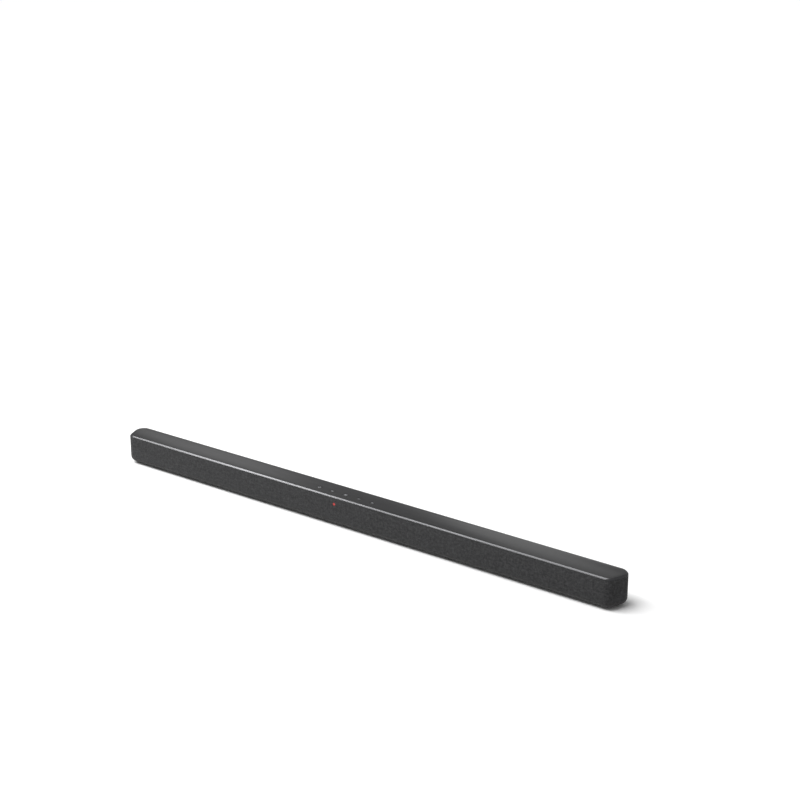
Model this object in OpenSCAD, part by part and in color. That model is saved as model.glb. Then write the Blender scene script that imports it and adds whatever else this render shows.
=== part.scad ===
// A slim table-top soundbar: a fabric-wrapped cabinet with four racetrack loudspeakers, its
// electronics, five push keys and the sockets in its back.
// X runs along the bar, -Y is the front, +Z is up. The origin is at the middle of its footprint.

/* [Overall] */
// Length of the bar, end to end
bar_length = 900; // [860:5:1100]
// Depth of the bar, front to back
bar_depth = 43; // [43:0.5:60]
// Height of the bar above the table, feet included
bar_height = 47; // [47:0.5:60]
// Height of the feet below the base
foot_height = 2.5; // [1.5:0.1:4]

/* [Outline] */
// Radius of the two front corners, seen from above
front_corner_r = 15; // [15:0.5:20]
// Radius of the two rear corners, seen from above
rear_corner_r = 15; // [15:0.5:20]
// Slant of the flat ends, which makes the back wider than the front
end_slant = 20; // [0:1:22]
// Radius of the rounded lower edge
lower_edge_r = 9; // [7:0.1:11]
// Size of the chamfer round the top cover
top_chamfer = 2.2; // [1:0.1:3]

/* [Walls] */
// Thickness of the fabric
fabric_t = 0.6; // [0.4:0.05:1]
// Thickness of the grille frame under the fabric
frame_t = 1.6; // [1.2:0.1:2.2]
// Thickness of the cabinet's walls
wall_t = 2.2; // [1.8:0.1:3]
// Thickness of the top cover
cover_t = 2.2; // [1.8:0.1:3]
// Thickness of the front baffle
baffle_t = 2.4; // [2:0.1:3]
// Thickness of the foam gasket behind the baffle
gasket_t = 0.6; // [0.4:0.1:1]
// Thickness of every circuit board
board_t = 1.2; // [0.8:0.1:1.6]

/* [Loudspeakers] */
// Distance between the flanges of two neighbouring loudspeakers
driver_spacing = 6; // [6:0.5:10]
// Half height of a loudspeaker's flange
driver_half_height = 13; // [12:0.5:13.2]
// Half length of the straight part of a loudspeaker's cone
cone_straight = 25; // [20:1:27]
// Radius of the voice coil's former
coil_r = 7; // [6:0.1:7.5]
// Thickness of the ring magnet
magnet_t = 6; // [4:0.5:8]
// Largest travel of a cone each way
cone_travel = 1.2; // [0.5:0.1:1.2]

/* [Electronics space] */
// Distance from the middle of the bar to each bulkhead
bulkhead_x = 190; // [186:1:194]

/* [Keys and lamp] */
// Middle of the row of keys, along the bar
key_row_x = -12; // [-40:1:40]
// Middle of the row of keys, front to back
key_row_y = -5.5; // [-7:0.5:0]
// Distance between two keys
key_pitch = 24.5; // [16:0.5:28]
// Radius of a key
key_r = 4.6; // [3.5:0.1:5.5]
// Travel of a key
key_travel = 0.5; // [0.3:0.05:0.6]
// Place of the lamp along the bar
lamp_x = -21; // [-30:1:-17]
// Distance of the lamp below the top
lamp_drop = 11.5; // [10:0.5:14]
// Radius of the lamp's lens
lamp_r = 2; // [1.5:0.1:2.4]

/* [Sockets] */
// Middle of the socket bay, along the bar
bay_x = 77; // [75:1:90]
// Length of the socket bay
bay_length = 110; // [104:1:120]
// Height of the socket bay
bay_height = 21; // [20:0.5:22]
// Depth of the socket bay
bay_depth = 12; // [8:0.5:14]
// Place of the mains inlet along the bar
inlet_x = -118; // [-125:1:-110]
// Radius of the audio jack's bore
jack_r = 1.8; // [1.75:0.05:2]
// Distance between the two wall-mounting inserts
wall_hole_spacing = 450; // [430:1:460]
// Radius of the threaded bore in a wall-mounting insert
insert_bore_r = 2; // [1.6:0.1:2.5]

/* [Fits] */
// Gap between two fixed pieces
gap = 0.15; // [0.1:0.05:0.3]
// Gap between the cabinet and the grille frame
shell_gap = 0.3; // [0.2:0.05:0.5]
// Radial gap round a pin or an insert that is pressed in
pin_gap = 0.02; // [0.01:0.01:0.05]
// Shadow line between the fabric and the top cover
seam_gap = 0.3; // [0.2:0.05:0.6]
// Radial gap round a moving piece
running_gap = 0.15; // [0.1:0.05:0.3]

/* [Hidden] */
$fn = 64;
overlap = 0.01;
// How far a cut runs past the face that it opens
through = 1;

KEY_NAMES = ["key_power", "key_source", "key_pairing", "key_volume_down", "key_volume_up"];
DRIVER_PIECES = ["basket", "suspension", "cone", "voice_coil", "motor"];
DRIVER_COUNT = 4;

// Colours
cover_colour = "#4b4b4e";
fabric_colour = "#3d3d3e";
moulding_colour = "#2c2c2e";
inner_colour = "#3a3a3c";
board_colour = "#1f4a33";
steel_colour = "#a9abad";
rubber_colour = "#1b1b1b";

// Levels
base_z = foot_height;
cover_under_z = bar_height - cover_t;
cover_lip_h = 0.6;
seam_z = cover_under_z - cover_lip_h;
cover_lip_w = 1.6;

// Cabinet
cabinet_inset = fabric_t + frame_t + shell_gap;
cabinet_floor_z = base_z + cabinet_inset + wall_t;
fabric_tuck = 3;
plinth_inset = lower_edge_r + fabric_tuck;
cabinet_front_y = -(bar_depth / 2 - cabinet_inset);
rear_inner_y = bar_depth / 2 - wall_t;
rear_half_length = bar_length / 2 - rear_corner_r;

// Outline from above: the middles of the corners, and the flat end's distance from the origin
rear_corner = [rear_half_length, bar_depth / 2 - rear_corner_r];
end_plane = rear_corner.x * cos(end_slant) - rear_corner.y * sin(end_slant) + rear_corner_r;
front_corner_y = front_corner_r - bar_depth / 2;
front_corner = [(end_plane - front_corner_r + front_corner_y * sin(end_slant)) / cos(end_slant),
    front_corner_y];
// Facets in a full turn of the outline's corners and of its lower edge
outline_fn = 48;

// Baffle, its window in the cabinet and the ledge behind it
baffle_recess = 1.2;
window_top_web = 2.8;
window_end_distance = 40;
ledge_w = 2;
ledge_t = 1.4;
rim_w = 1.6;
window_half_length = bar_length / 2 - window_end_distance;
window_z0 = base_z + lower_edge_r;
window_z1 = cover_under_z - window_top_web;
window_mid_z = (window_z0 + window_z1) / 2;
baffle_front_y = cabinet_front_y + baffle_recess;
baffle_rear_y = baffle_front_y + baffle_t;
ledge_front_y = baffle_rear_y + gasket_t;
ledge_rear_y = ledge_front_y + ledge_t;
frame_inner_y = -(bar_depth / 2 - fabric_t - frame_t);

// Loudspeakers, left to right
flange_margin = 7;
flange_straight = cone_straight + flange_margin;
flange_half = flange_straight + driver_half_height;
end_pillar_gap = 4;
end_pillar_x = window_half_length - ledge_w - end_pillar_gap;
outer_driver_x = end_pillar_x - end_pillar_gap - flange_half;
inner_driver_x = outer_driver_x - 2 * flange_half - driver_spacing;
driver_x = [-outer_driver_x, -inner_driver_x, inner_driver_x, outer_driver_x];
driver_z = window_mid_z;
flange_t = 1.2;
opening_r = driver_half_height - 1;
roll_r = 1.4;
membrane_t = 0.4;
roll_mid_r = opening_r - membrane_t - roll_r;
bond_gap = 0.1;
cone_r = roll_mid_r - roll_r - bond_gap;
cone_t = 0.5;
cone_depth = 6.4;
cone_rim_t = 0.3;
former_t = 0.25;
winding_t = 0.25;
magnet_gap = 0.2;
drum_t = 0.4;
drum_ring_t = 1.2;
drum_front = -6.8;
drum_rear = -10.1;
top_plate_t = 2.5;
winding_h = top_plate_t + 2 * cone_travel;
neck_wall = 0.6;
cap_h = 2.2;
cap_t = 0.35;
former_top = -cone_depth + 0.8;
former_tail = 0.5;
yoke_t = 2;
flange_lip = 0.6;
flange_screw_inset = 4.5;
arm_y = 5;
arm_rim_size = [3, 2.4, 1.4];
arm_drum_size = [1, 2.4, 2];
spider_front = -7.1;
spider_t = 0.3;
spider_wave = 0.6;
flange_screw_x = flange_half - flange_screw_inset;
tab_reach = 4;
tab_h = 4;
tab_t = 1;

// Keys, key board and switches
key_count = len(KEY_NAMES);
key_flange_r = key_r + 0.9;
key_flange_t = 0.8;
key_stem_r = 1.5;
switch_size = [6, 6, 3.4];
key_board_drop = 7.2;
key_board_z = cover_under_z - key_board_drop;
key_board_top_z = key_board_z + board_t;
switch_top_z = key_board_top_z + switch_size.z;
switch_well = 1.5;
key_stem_gap = 0.1;
key_stem_z = switch_top_z - switch_well + key_travel + key_stem_gap;
key_board_w = 12;
key_board_margin = 12;
key_post_inset = [3.5, 2.5];
key_board_half_length = key_pitch * (key_count - 1) / 2 + key_board_margin;
key_post_x = key_board_half_length - key_post_inset.x;
key_post_y = key_board_w / 2 - key_post_inset.y;
key_post_r = 1.9;

// Bulkheads, pillars and pegs
bulkhead_t = 2;
// Room left above the bulkheads for the rib under the cover
cover_rib_space = 3.3;
between_drivers_x = (outer_driver_x + inner_driver_x) / 2;
pillar_w = 5.2;
centre_pillar_x = abs(key_row_x) + key_board_half_length + pillar_w;
pillar_x = [centre_pillar_x, bulkhead_x, between_drivers_x, end_pillar_x];
pillar_depth = 4;
pillar_y1 = ledge_rear_y + pillar_depth;
peg_offset = [15, 14];
peg_x = [centre_pillar_x + peg_offset[0], inner_driver_x - flange_half - peg_offset[1], between_drivers_x,
    end_pillar_x];
peg_r = 1.5;
peg_grip = 1.8;
peg_end_y = baffle_front_y + peg_grip;
baffle_screw_inset = 5.5;
baffle_screw_z = [window_z0 + baffle_screw_inset, window_z1 - baffle_screw_inset];
lead_r = 1.2;
lead_lane = lead_r + 0.4;
lead_hole_r = lead_lane + lead_r + 0.3;
lead_hole_z = cabinet_floor_z + lead_hole_r + 1;

// Screws
small_screw_r = 1;
small_head_r = 1.9;
small_head_h = 1.3;
flat_head_h = 0.9;
small_slot = [0.2, 0.4];
cover_slot = [0.3, 1.6, 0.8];
// Radial gap where a screw's thread bites, and where its shank passes through
bite_gap = 0.05;
shank_gap = 0.1;
cover_screw_r = 1.4;
cover_head_r = 2.6;
cover_head_h = 2;
cover_screw_inset = [25, 7, 38];
cover_screw_x = [bulkhead_x - cover_screw_inset[0], between_drivers_x - cover_screw_inset[1],
    bar_length / 2 - cover_screw_inset[2]];
cover_screw_rear = 11.5;
cover_screw_y = bar_depth / 2 - cover_screw_rear;
cover_screw_bite = 12;
screw_tip_gap = 2;
tip_gap = 0.5;
boss_r = 4.2;
boss_h = 11;
boss_top_z = cabinet_floor_z + boss_h;
counterbore_h = 4;
post_r = 3;

// Boards
board_post_h = 7.8;
board_screw_bite = 4;
board_z = cabinet_floor_z + board_post_h;
board_top_z = board_z + board_t;
bay_floor_y = bar_depth / 2 - bay_depth;
bay_wall_t = 1.6;
bay_ear = 3;
bay_drop = 3.7;
bay_z0 = board_top_z - bay_drop;
bay_inner_z0 = bay_z0 + bay_wall_t;
board_front_gap = 4.3;
board_front_y = ledge_rear_y + board_front_gap;
board_end_x = bulkhead_x - 40;
main_board_x = [15, board_end_x];
main_board_rear_y = bay_floor_y - bay_wall_t - gap;
power_board_length = 65;
power_board_rear_gap = 2;
power_board_x = [-board_end_x, power_board_length - board_end_x];
power_board_rear_y = rear_inner_y - power_board_rear_gap;
board_hole_inset = 3.5;
board_post_r = 2.4;

// Sockets, each centred at an offset from the middle of the bay
socket_offset = [-39, -15, 7, 31];
hdmi_x = bay_x + socket_offset[0];
optical_x = bay_x + socket_offset[1];
jack_x = bay_x + socket_offset[2];
usb_x = bay_x + socket_offset[3];
hdmi_size = [15, 11.5, 5.6];
optical_size = [10, 12, 10];
jack_size = [8, 12, 8];
usb_size = [14.2, 13, 6.6];
shutter_pin_r = 0.5;
shutter_gap = 0.05;
shutter_t = 0.8;
optical_cavity = [7.4, 9, 7.4];
shutter_recess = 1.2;
shutter_drop = 0.8;
shutter_side_gap = 0.2;
shutter_pin_reach = 0.8;
shutter_y = bay_floor_y - shutter_recess;
optical_mid_z = board_top_z + optical_size.z / 2;
shutter_z = optical_mid_z + optical_cavity.z / 2 - shutter_drop;

// Mains inlet
inlet_size = [22, 16, 14];
inlet_z = board_top_z + inlet_size.z / 2;
inlet_pin_x = 4.3;
inlet_lobe_r = 4.4;
inlet_web_h = 5;
inlet_cavity = 12;
inlet_pin_r = 1.15;
inlet_pin_l = 10;

// Lamp, display board and remote receiver
lamp_z = bar_height - lamp_drop;
receiver_x = lamp_x + 12;
receiver_r = 2.6;
lens_flange_r = 3.2;
display_front_y = ledge_rear_y + 1.6;
display_size = [40, board_t, 11];
display_gap = 0.4;
header_length = 12;
display_z0 = min(lamp_z - 7.5, key_board_z - display_size.z - display_gap);

// Feet and inserts
foot_size = [26, 18];
foot_corner_r = 4;
foot_pocket = 1;
foot_x = [90, bar_length / 2 - 120];
foot_y = (plinth_inset - lower_edge_r) / 2;
insert_r = 3;
insert_l = 8;
insert_z = window_mid_z - 2;

function key_x(k) = key_row_x + (k - (key_count - 1) / 2) * key_pitch;

// ---- Shapes that repeat ----

// Half section from the middle line out to reach, with its lower edge rounded and its top chamfered
module edge_profile(reach, z0, z1, edge, chamfer) {
    difference() {
        translate([0, z0]) square([reach, z1 - z0]);
        if (edge > 0) translate([reach - edge, z0]) difference() {
            translate([0, -1]) square([edge + 1, edge + 1]);
            translate([0, edge]) circle(r = edge, $fn = outline_fn);
        }
        if (chamfer > 0) polygon([[reach - chamfer, z1], [reach, z1 - chamfer], [reach + 1, z1 - chamfer],
            [reach + 1, z1 + 1], [reach - chamfer, z1 + 1]]);
    }
}

// Half section swept straight along the rear side, between x0 and x1
module rear_strip(inset, x_half, z0, z1, edge = 0, chamfer = 0) {
    translate([-x_half, 0, 0]) rotate([90, 0, 90]) linear_extrude(2 * x_half)
        edge_profile(bar_depth / 2 - inset, z0, z1, edge, chamfer);
}

// One corner of the outline, as a full turn
module corner_solid(corner, radius, z0, z1, edge, chamfer) {
    translate(corner) rotate_extrude($fn = outline_fn) edge_profile(radius, z0, z1, edge, chamfer);
}

// The bar's outline as a solid, set in by inset on all sides
module bar_solid(inset, z0, z1, edge = 0, chamfer = 0) {
    hull() for (side = [0, 1]) mirror([side, 0, 0]) {
        corner_solid(front_corner, front_corner_r - inset, z0, z1, edge, chamfer);
        corner_solid(rear_corner, rear_corner_r - inset, z0, z1, edge, chamfer);
    }
}

// A block between two corners
module block(low, high) {
    translate(low) cube(high - low);
}

// A cylinder along +Y from y0 to y1
module y_rod(x, z, r, y0, y1) {
    translate([x, y0, z]) rotate([-90, 0, 0]) cylinder(r = r, h = y1 - y0);
}

// A cylinder along +Z from z0 to z1
module z_rod(x, y, r, z0, z1) {
    translate([x, y, z0]) cylinder(r = r, h = z1 - z0);
}

// A racetrack slab: two round ends of radius r, their centres 2 * straight apart
module racetrack(r, straight, z0, z1) {
    for (side = [-1, 1]) z_rod(side * straight, 0, r, z0, z1);
    block([-straight, -r, z0], [straight, r, z1]);
}

// A section of (radius, height) swept round a racetrack
module racetrack_sweep(straight) {
    for (side = [0, 1]) rotate([0, 0, 180 * side]) {
        translate([straight, 0, 0]) rotate([0, 0, -90]) rotate_extrude(angle = 180) children();
        translate([-straight, 0, 0]) rotate([90, 0, 90]) linear_extrude(2 * straight) children();
    }
}

// Places a loudspeaker's piece: its local +Z points forwards, its flange's front is at zero, and its
// terminal tab is towards the middle of the bar
module at_driver(k) {
    translate([driver_x[k], baffle_rear_y, driver_z]) rotate([90, 0, 0])
        mirror([driver_x[k] < 0 ? 1 : 0, 0, 0]) children();
}

// A rectangle with round corners, as a slab
module rounded_slab(size, r, z0, z1) {
    for (sx = [-1, 1], sy = [-1, 1]) z_rod(sx * (size.x / 2 - r), sy * (size.y / 2 - r), r, z0, z1);
    block([-size.x / 2 + r, -size.y / 2, z0], [size.x / 2 - r, size.y / 2, z1]);
    block([-size.x / 2, -size.y / 2 + r, z0], [size.x / 2, size.y / 2 - r, z1]);
}

// The points of a ring of a lead, square to the direction in which the lead runs there
function unit(v) = v / norm(v);
function ring_axis(route, i) = unit(route[min(i + 1, len(route) - 1)] - route[max(i - 1, 0)]);
function ring(centre, along, r, sides) =
    let (side = unit(cross(along, abs(along.z) > 0.9 ? [0, 1, 0] : [0, 0, 1])), up = cross(side, along))
    [for (s = [0:sides - 1]) centre + r * (cos(360 * s / sides) * side + sin(360 * s / sides) * up)];

// A round lead along a route
module lead(route, r, sides = 8) {
    last = len(route) - 1;
    points = [for (i = [0:last]) each ring(route[i], ring_axis(route, i), r, sides)];
    skin = [for (i = [0:last - 1], s = [0:sides - 1])
        [i * sides + s, i * sides + (s + 1) % sides, (i + 1) * sides + (s + 1) % sides,
            (i + 1) * sides + s]];
    caps = [[for (s = [sides - 1:-1:0]) s], [for (s = [0:sides - 1]) last * sides + s]];
    polyhedron(points, concat(skin, caps));
}

// ---- Shells ----

module underside_opening(inset) {
    bar_solid(inset, base_z - 1, base_z + plinth_inset, 0, 0);
}

// A wrap round the front, the ends and the lower edge, open at the back, the top and underneath
module wrap(inset, thickness) {
    difference() {
        bar_solid(inset, base_z + inset, seam_z - seam_gap, lower_edge_r - inset);
        bar_solid(inset + thickness, base_z + inset + thickness, bar_height,
            lower_edge_r - inset - thickness);
        underside_opening(plinth_inset);
        block([-rear_half_length, bar_depth / 2 - rear_corner_r, 0], [rear_half_length, bar_depth,
            bar_height]);
    }
}

module grille_fabric() {
    color(fabric_colour) wrap(0, fabric_t);
}

slot_w = 3.2;
slot_pitch = 5;
slot_half_height = driver_half_height - 2;
slots_per_side = floor((cone_straight + opening_r - slot_w / 2) / slot_pitch);

module grille_frame() {
    color(moulding_colour) {
        difference() {
            wrap(fabric_t, frame_t);
            for (x = driver_x, s = [-slots_per_side:slots_per_side])
                block([x + s * slot_pitch - slot_w / 2, -bar_depth, driver_z - slot_half_height],
                    [x + s * slot_pitch + slot_w / 2, -bar_depth / 4, driver_z + slot_half_height]);
            y_rod(lamp_x, lamp_z, lamp_r + gap, -bar_depth, 0);
            y_rod(receiver_x, lamp_z, receiver_r + gap, -bar_depth, 0);
        }
        for (side = [-1, 1], x = peg_x)
            y_rod(side * x, window_mid_z, peg_r, frame_inner_y - overlap, peg_end_y);
    }
}

module top_cover() {
    color(cover_colour) difference() {
        union() {
            difference() {
                bar_solid(0, seam_z, bar_height, 0, top_chamfer);
                bar_solid(cover_lip_w, seam_z - through, cover_under_z);
            }
            cover_rib();
            for (side = [-1, 1], x = cover_screw_x)
                z_rod(side * x, cover_screw_y, post_r, boss_top_z + gap, cover_under_z + overlap);
            for (side = [-1, 1], y = [-1, 1])
                z_rod(key_row_x + side * key_post_x, key_row_y + y * key_post_y, key_post_r,
                    key_board_top_z, cover_under_z + overlap);
        }
        for (k = [0:key_count - 1])
            z_rod(key_x(k), key_row_y, key_r + running_gap, cover_under_z - through, bar_height + through);
        for (side = [-1, 1], x = cover_screw_x)
            z_rod(side * x, cover_screw_y, cover_screw_r + bite_gap, boss_top_z,
                boss_top_z + cover_screw_bite + screw_tip_gap);
        for (side = [-1, 1], y = [-1, 1])
            z_rod(key_row_x + side * key_post_x, key_row_y + y * key_post_y, small_screw_r + bite_gap,
                key_board_top_z - through, key_board_top_z + board_screw_bite + tip_gap);
    }
}

// Locating rib under the cover, along the ends and the back of the cabinet
module cover_rib() {
    rib_inset = cabinet_inset + wall_t + gap;
    rib_t = 1.2;
    rib_h = 3;
    rib_end = window_half_length + 8;
    difference() {
        bar_solid(rib_inset, cover_under_z - rib_h, cover_under_z + overlap);
        bar_solid(rib_inset + rib_t, cover_under_z - rib_h - through, cover_under_z + through);
        block([-rib_end, -bar_depth, 0], [rib_end, 0, bar_height]);
    }
}

module cabinet() {
    color(inner_colour) difference() {
        union() {
            difference() {
                cabinet_outside();
                cabinet_hollow();
            }
            cabinet_inside();
        }
        cabinet_holes();
    }
}

module cabinet_outside() {
    bar_solid(cabinet_inset, base_z + cabinet_inset, cover_under_z, lower_edge_r - cabinet_inset);
    bar_solid(plinth_inset + gap, base_z, base_z + cabinet_inset + overlap);
    rear_strip(0, rear_half_length - gap, base_z, seam_z - seam_gap, lower_edge_r);
}

module cabinet_hollow() {
    bar_solid(cabinet_inset + wall_t, cabinet_floor_z, bar_height);
    rear_strip(wall_t, rear_half_length - wall_t - 1, cabinet_floor_z + 2, bar_height);
}

// Rim, ledge, pillars, bulkheads, bosses and board posts
module cabinet_inside() {
    difference() {
        block([-window_half_length - rim_w, cabinet_front_y, window_z0 - rim_w],
            [window_half_length + rim_w, ledge_rear_y, window_z1 + rim_w]);
        block([-window_half_length + ledge_w, -bar_depth, window_z0 + ledge_w],
            [window_half_length - ledge_w, 0, window_z1 - ledge_w]);
    }
    for (side = [-1, 1], x = pillar_x)
        block([side * x - pillar_w / 2, ledge_front_y, cabinet_floor_z - overlap],
            [side * x + pillar_w / 2, pillar_y1, window_z1]);
    for (side = [-1, 1])
        block([side * bulkhead_x - bulkhead_t / 2, ledge_front_y, cabinet_floor_z - overlap],
            [side * bulkhead_x + bulkhead_t / 2, rear_inner_y + overlap, cover_under_z - cover_rib_space]);
    for (side = [-1, 1], x = cover_screw_x)
        z_rod(side * x, cover_screw_y, boss_r, cabinet_floor_z - overlap, boss_top_z);
    for (side = [-1, 1])
        y_rod(side * wall_hole_spacing / 2, insert_z, insert_r + 1.8, bar_depth / 2 - insert_l - 1.2,
            rear_inner_y + overlap);
    board_posts(main_board_x, main_board_rear_y)
        z_rod(0, 0, board_post_r, cabinet_floor_z - overlap, board_z);
    board_posts(power_board_x, power_board_rear_y)
        z_rod(0, 0, board_post_r, cabinet_floor_z - overlap, board_z);
}

module board_posts(x_range, rear_y) {
    for (x = [x_range[0] + board_hole_inset, x_range[1] - board_hole_inset],
        y = [board_front_y + board_hole_inset, rear_y - board_hole_inset]) translate([x, y, 0]) children();
}

module cabinet_holes() {
    block([-window_half_length, -bar_depth, window_z0], [window_half_length, ledge_front_y, window_z1]);
    for (side = [-1, 1], x = pillar_x, z = baffle_screw_z)
        y_rod(side * x, z, small_screw_r + bite_gap, ledge_front_y - through, pillar_y1 - through);
    for (side = [-1, 1], x = cover_screw_x) {
        z_rod(side * x, cover_screw_y, cover_screw_r + 2 * shank_gap, 0, bar_height);
        z_rod(side * x, cover_screw_y, cover_head_r + gap, -1, base_z + counterbore_h);
    }
    for (side = [-1, 1])
        y_rod(side * wall_hole_spacing / 2, insert_z, insert_r + pin_gap, bar_depth / 2 - insert_l,
            bar_depth);
    for (side = [-1, 1])
        translate([side * bulkhead_x - bulkhead_t, 0, lead_hole_z]) rotate([0, 90, 0])
            cylinder(r = lead_hole_r, h = 2 * bulkhead_t);
    block([bay_x - bay_length / 2 - gap, 0, bay_z0 - gap], [bay_x + bay_length / 2 + gap, bar_depth,
        bay_z0 + bay_height + gap]);
    block([inlet_x - inlet_size.x / 2 - gap, rear_inner_y - 3, inlet_z - inlet_size.z / 2 - gap],
        [inlet_x + inlet_size.x / 2 + gap, bar_depth, inlet_z + inlet_size.z / 2 + gap]);
    for (side = [-1, 1], x = foot_x) translate([side * x, foot_y, 0])
        rounded_slab([foot_size.x + 2 * gap, foot_size.y + 2 * gap], foot_corner_r + gap, -1,
            base_z + foot_pocket);
    board_posts(main_board_x, main_board_rear_y)
        z_rod(0, 0, small_screw_r + bite_gap, board_z - board_screw_bite - tip_gap, board_z + through);
    board_posts(power_board_x, power_board_rear_y)
        z_rod(0, 0, small_screw_r + bite_gap, board_z - board_screw_bite - tip_gap, board_z + through);
}

module baffle() {
    color(inner_colour) difference() {
        block([-window_half_length + gap, baffle_front_y, window_z0 + gap],
            [window_half_length - gap, baffle_rear_y, window_z1 - gap]);
        for (x = driver_x) translate([x, baffle_rear_y + through, driver_z]) rotate([90, 0, 0])
            racetrack(opening_r, cone_straight, 0, baffle_t + 2 * through);
        for (x = driver_x, side = [-1, 1])
            y_rod(x + side * flange_screw_x, driver_z, small_screw_r + bite_gap, baffle_front_y + 0.6,
                baffle_rear_y + 1);
        for (side = [-1, 1], x = pillar_x, z = baffle_screw_z)
            y_rod(side * x, z, small_screw_r + shank_gap, baffle_front_y - through,
                baffle_rear_y + through);
        for (side = [-1, 1], x = peg_x)
            y_rod(side * x, window_mid_z, peg_r + shank_gap, baffle_front_y - through,
                baffle_rear_y + through);
        y_rod(lamp_x, lamp_z, lamp_r + gap, baffle_front_y - through, baffle_rear_y + through);
        y_rod(receiver_x, lamp_z, receiver_r + gap, baffle_front_y - through, baffle_rear_y + through);
    }
}

module baffle_gasket() {
    color(rubber_colour) difference() {
        block([-window_half_length + gap, baffle_rear_y, window_z0 + gap],
            [window_half_length - gap, ledge_front_y, window_z1 - gap]);
        block([-window_half_length + ledge_w, -bar_depth, window_z0 + ledge_w],
            [window_half_length - ledge_w, 0, window_z1 - ledge_w]);
    }
}

module feet() {
    color(rubber_colour) for (side = [-1, 1], x = foot_x) translate([side * x, foot_y, 0])
        rounded_slab(foot_size, foot_corner_r, 0, base_z + foot_pocket);
}

module wall_inserts() {
    color("#b08d4a") for (side = [-1, 1]) difference() {
        y_rod(side * wall_hole_spacing / 2, insert_z, insert_r, bar_depth / 2 - insert_l, bar_depth / 2);
        y_rod(side * wall_hole_spacing / 2, insert_z, insert_bore_r, 0, bar_depth);
    }
}

// ---- Screws ----

// A small screw: its head's underside is at the origin and its shank runs up
module small_screw(length) {
    z_rod(0, 0, small_screw_r, -overlap, length);
    difference() {
        z_rod(0, 0, small_head_r, -small_head_h, 0);
        for (a = [0, 90]) rotate([0, 0, a])
            block([-small_head_r * 0.6, -small_slot.x, -small_head_h - through],
                [small_head_r * 0.6, small_slot.x, -small_head_h + small_slot.y]);
    }
}

module cover_screws() {
    color(steel_colour) for (side = [-1, 1], x = cover_screw_x)
        translate([side * x, cover_screw_y, base_z + counterbore_h]) {
            z_rod(0, 0, cover_screw_r, -overlap, boss_top_z + cover_screw_bite - base_z - counterbore_h);
            difference() {
                z_rod(0, 0, cover_head_r, -cover_head_h, 0);
                for (a = [0, 90]) rotate([0, 0, a])
                    block([-cover_slot.y, -cover_slot.x, -cover_head_h - through],
                        [cover_slot.y, cover_slot.x, -cover_head_h + cover_slot.z]);
            }
        }
}

module baffle_screws() {
    color(steel_colour) for (side = [-1, 1], x = pillar_x, z = baffle_screw_z)
        translate([side * x, baffle_front_y, z]) rotate([-90, 0, 0]) flat_screw(baffle_t + gasket_t + 3.5);
}

// A small screw with a thin head that stays clear of the grille frame
module flat_screw(length) {
    z_rod(0, 0, small_screw_r, -overlap, length);
    difference() {
        z_rod(0, 0, small_head_r, -flat_head_h, 0);
        for (a = [0, 90]) rotate([0, 0, a])
            block([-small_head_r * 0.6, -small_slot.x, -flat_head_h - through],
                [small_head_r * 0.6, small_slot.x, -flat_head_h + small_slot.y]);
    }
}

module driver_screws() {
    color(steel_colour) for (k = [0:DRIVER_COUNT - 1], side = [-1, 1]) at_driver(k)
        translate([side * flange_screw_x, 0, -flange_t]) small_screw(flange_t + baffle_t - 1);
}

module board_screws() {
    color(steel_colour) {
        board_posts(main_board_x, main_board_rear_y) translate([0, 0, board_top_z]) mirror([0, 0, 1])
            small_screw(board_t + board_screw_bite);
        board_posts(power_board_x, power_board_rear_y) translate([0, 0, board_top_z]) mirror([0, 0, 1])
            small_screw(board_t + board_screw_bite);
        for (side = [-1, 1], y = [-1, 1])
            translate([key_row_x + side * key_post_x, key_row_y + y * key_post_y, key_board_z])
                small_screw(board_t + board_screw_bite);
    }
}

// ---- Loudspeakers ----

module driver_basket() {
    drum_r = driver_half_height;
    color(moulding_colour) {
        difference() {
            racetrack(driver_half_height, flange_straight, -flange_t, 0);
            racetrack(opening_r - flange_lip, cone_straight, -flange_t - through, through);
            for (side = [-1, 1]) z_rod(side * flange_screw_x, 0, small_screw_r + shank_gap,
                -flange_t - 1, 1);
        }
        difference() {
            z_rod(0, 0, drum_r, drum_rear, drum_front);
            z_rod(0, 0, drum_r - drum_t, drum_rear + drum_ring_t, 0);
            z_rod(0, 0, coil_r + winding_t + 1, drum_rear - 1, 0);
        }
        block([-drum_r - tab_reach, -tab_h / 2, drum_rear], [-drum_r + drum_t, tab_h / 2,
            drum_rear + tab_t]);
        for (sx = [-1, 1], sy = [-1, 1]) hull() {
            translate([sx * (cone_straight + opening_r + 1), sy * arm_y, -flange_t - 0.5])
                cube(arm_rim_size, center = true);
            translate([sx * (drum_r - 0.35), sy * arm_y, drum_rear + 2]) cube(arm_drum_size, center = true);
        }
    }
}

module driver_suspension() {
    color(rubber_colour) {
        racetrack_sweep(cone_straight) {
            difference() {
                translate([roll_mid_r, 0]) circle(r = roll_r);
                translate([roll_mid_r, 0]) circle(r = roll_r - membrane_t);
                translate([0, -2 * roll_r]) square([2 * roll_mid_r, 2 * roll_r]);
            }
            translate([roll_mid_r + roll_r - membrane_t, 0]) square([0.6, membrane_t]);
        }
        translate([0, 0, spider_front]) rotate_extrude() spider_profile();
    }
}

// The spider's two corrugations between the former and the basket's drum
module spider_profile() {
    inner = coil_r + bond_gap;
    outer = driver_half_height - drum_t - bond_gap;
    crest = (outer - inner) / 4;
    top = [for (i = [0:4]) [inner + i * crest, i % 2 * spider_wave]];
    polygon(concat(top, [for (i = [4:-1:0]) top[i] - [0, spider_t]]));
}

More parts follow.
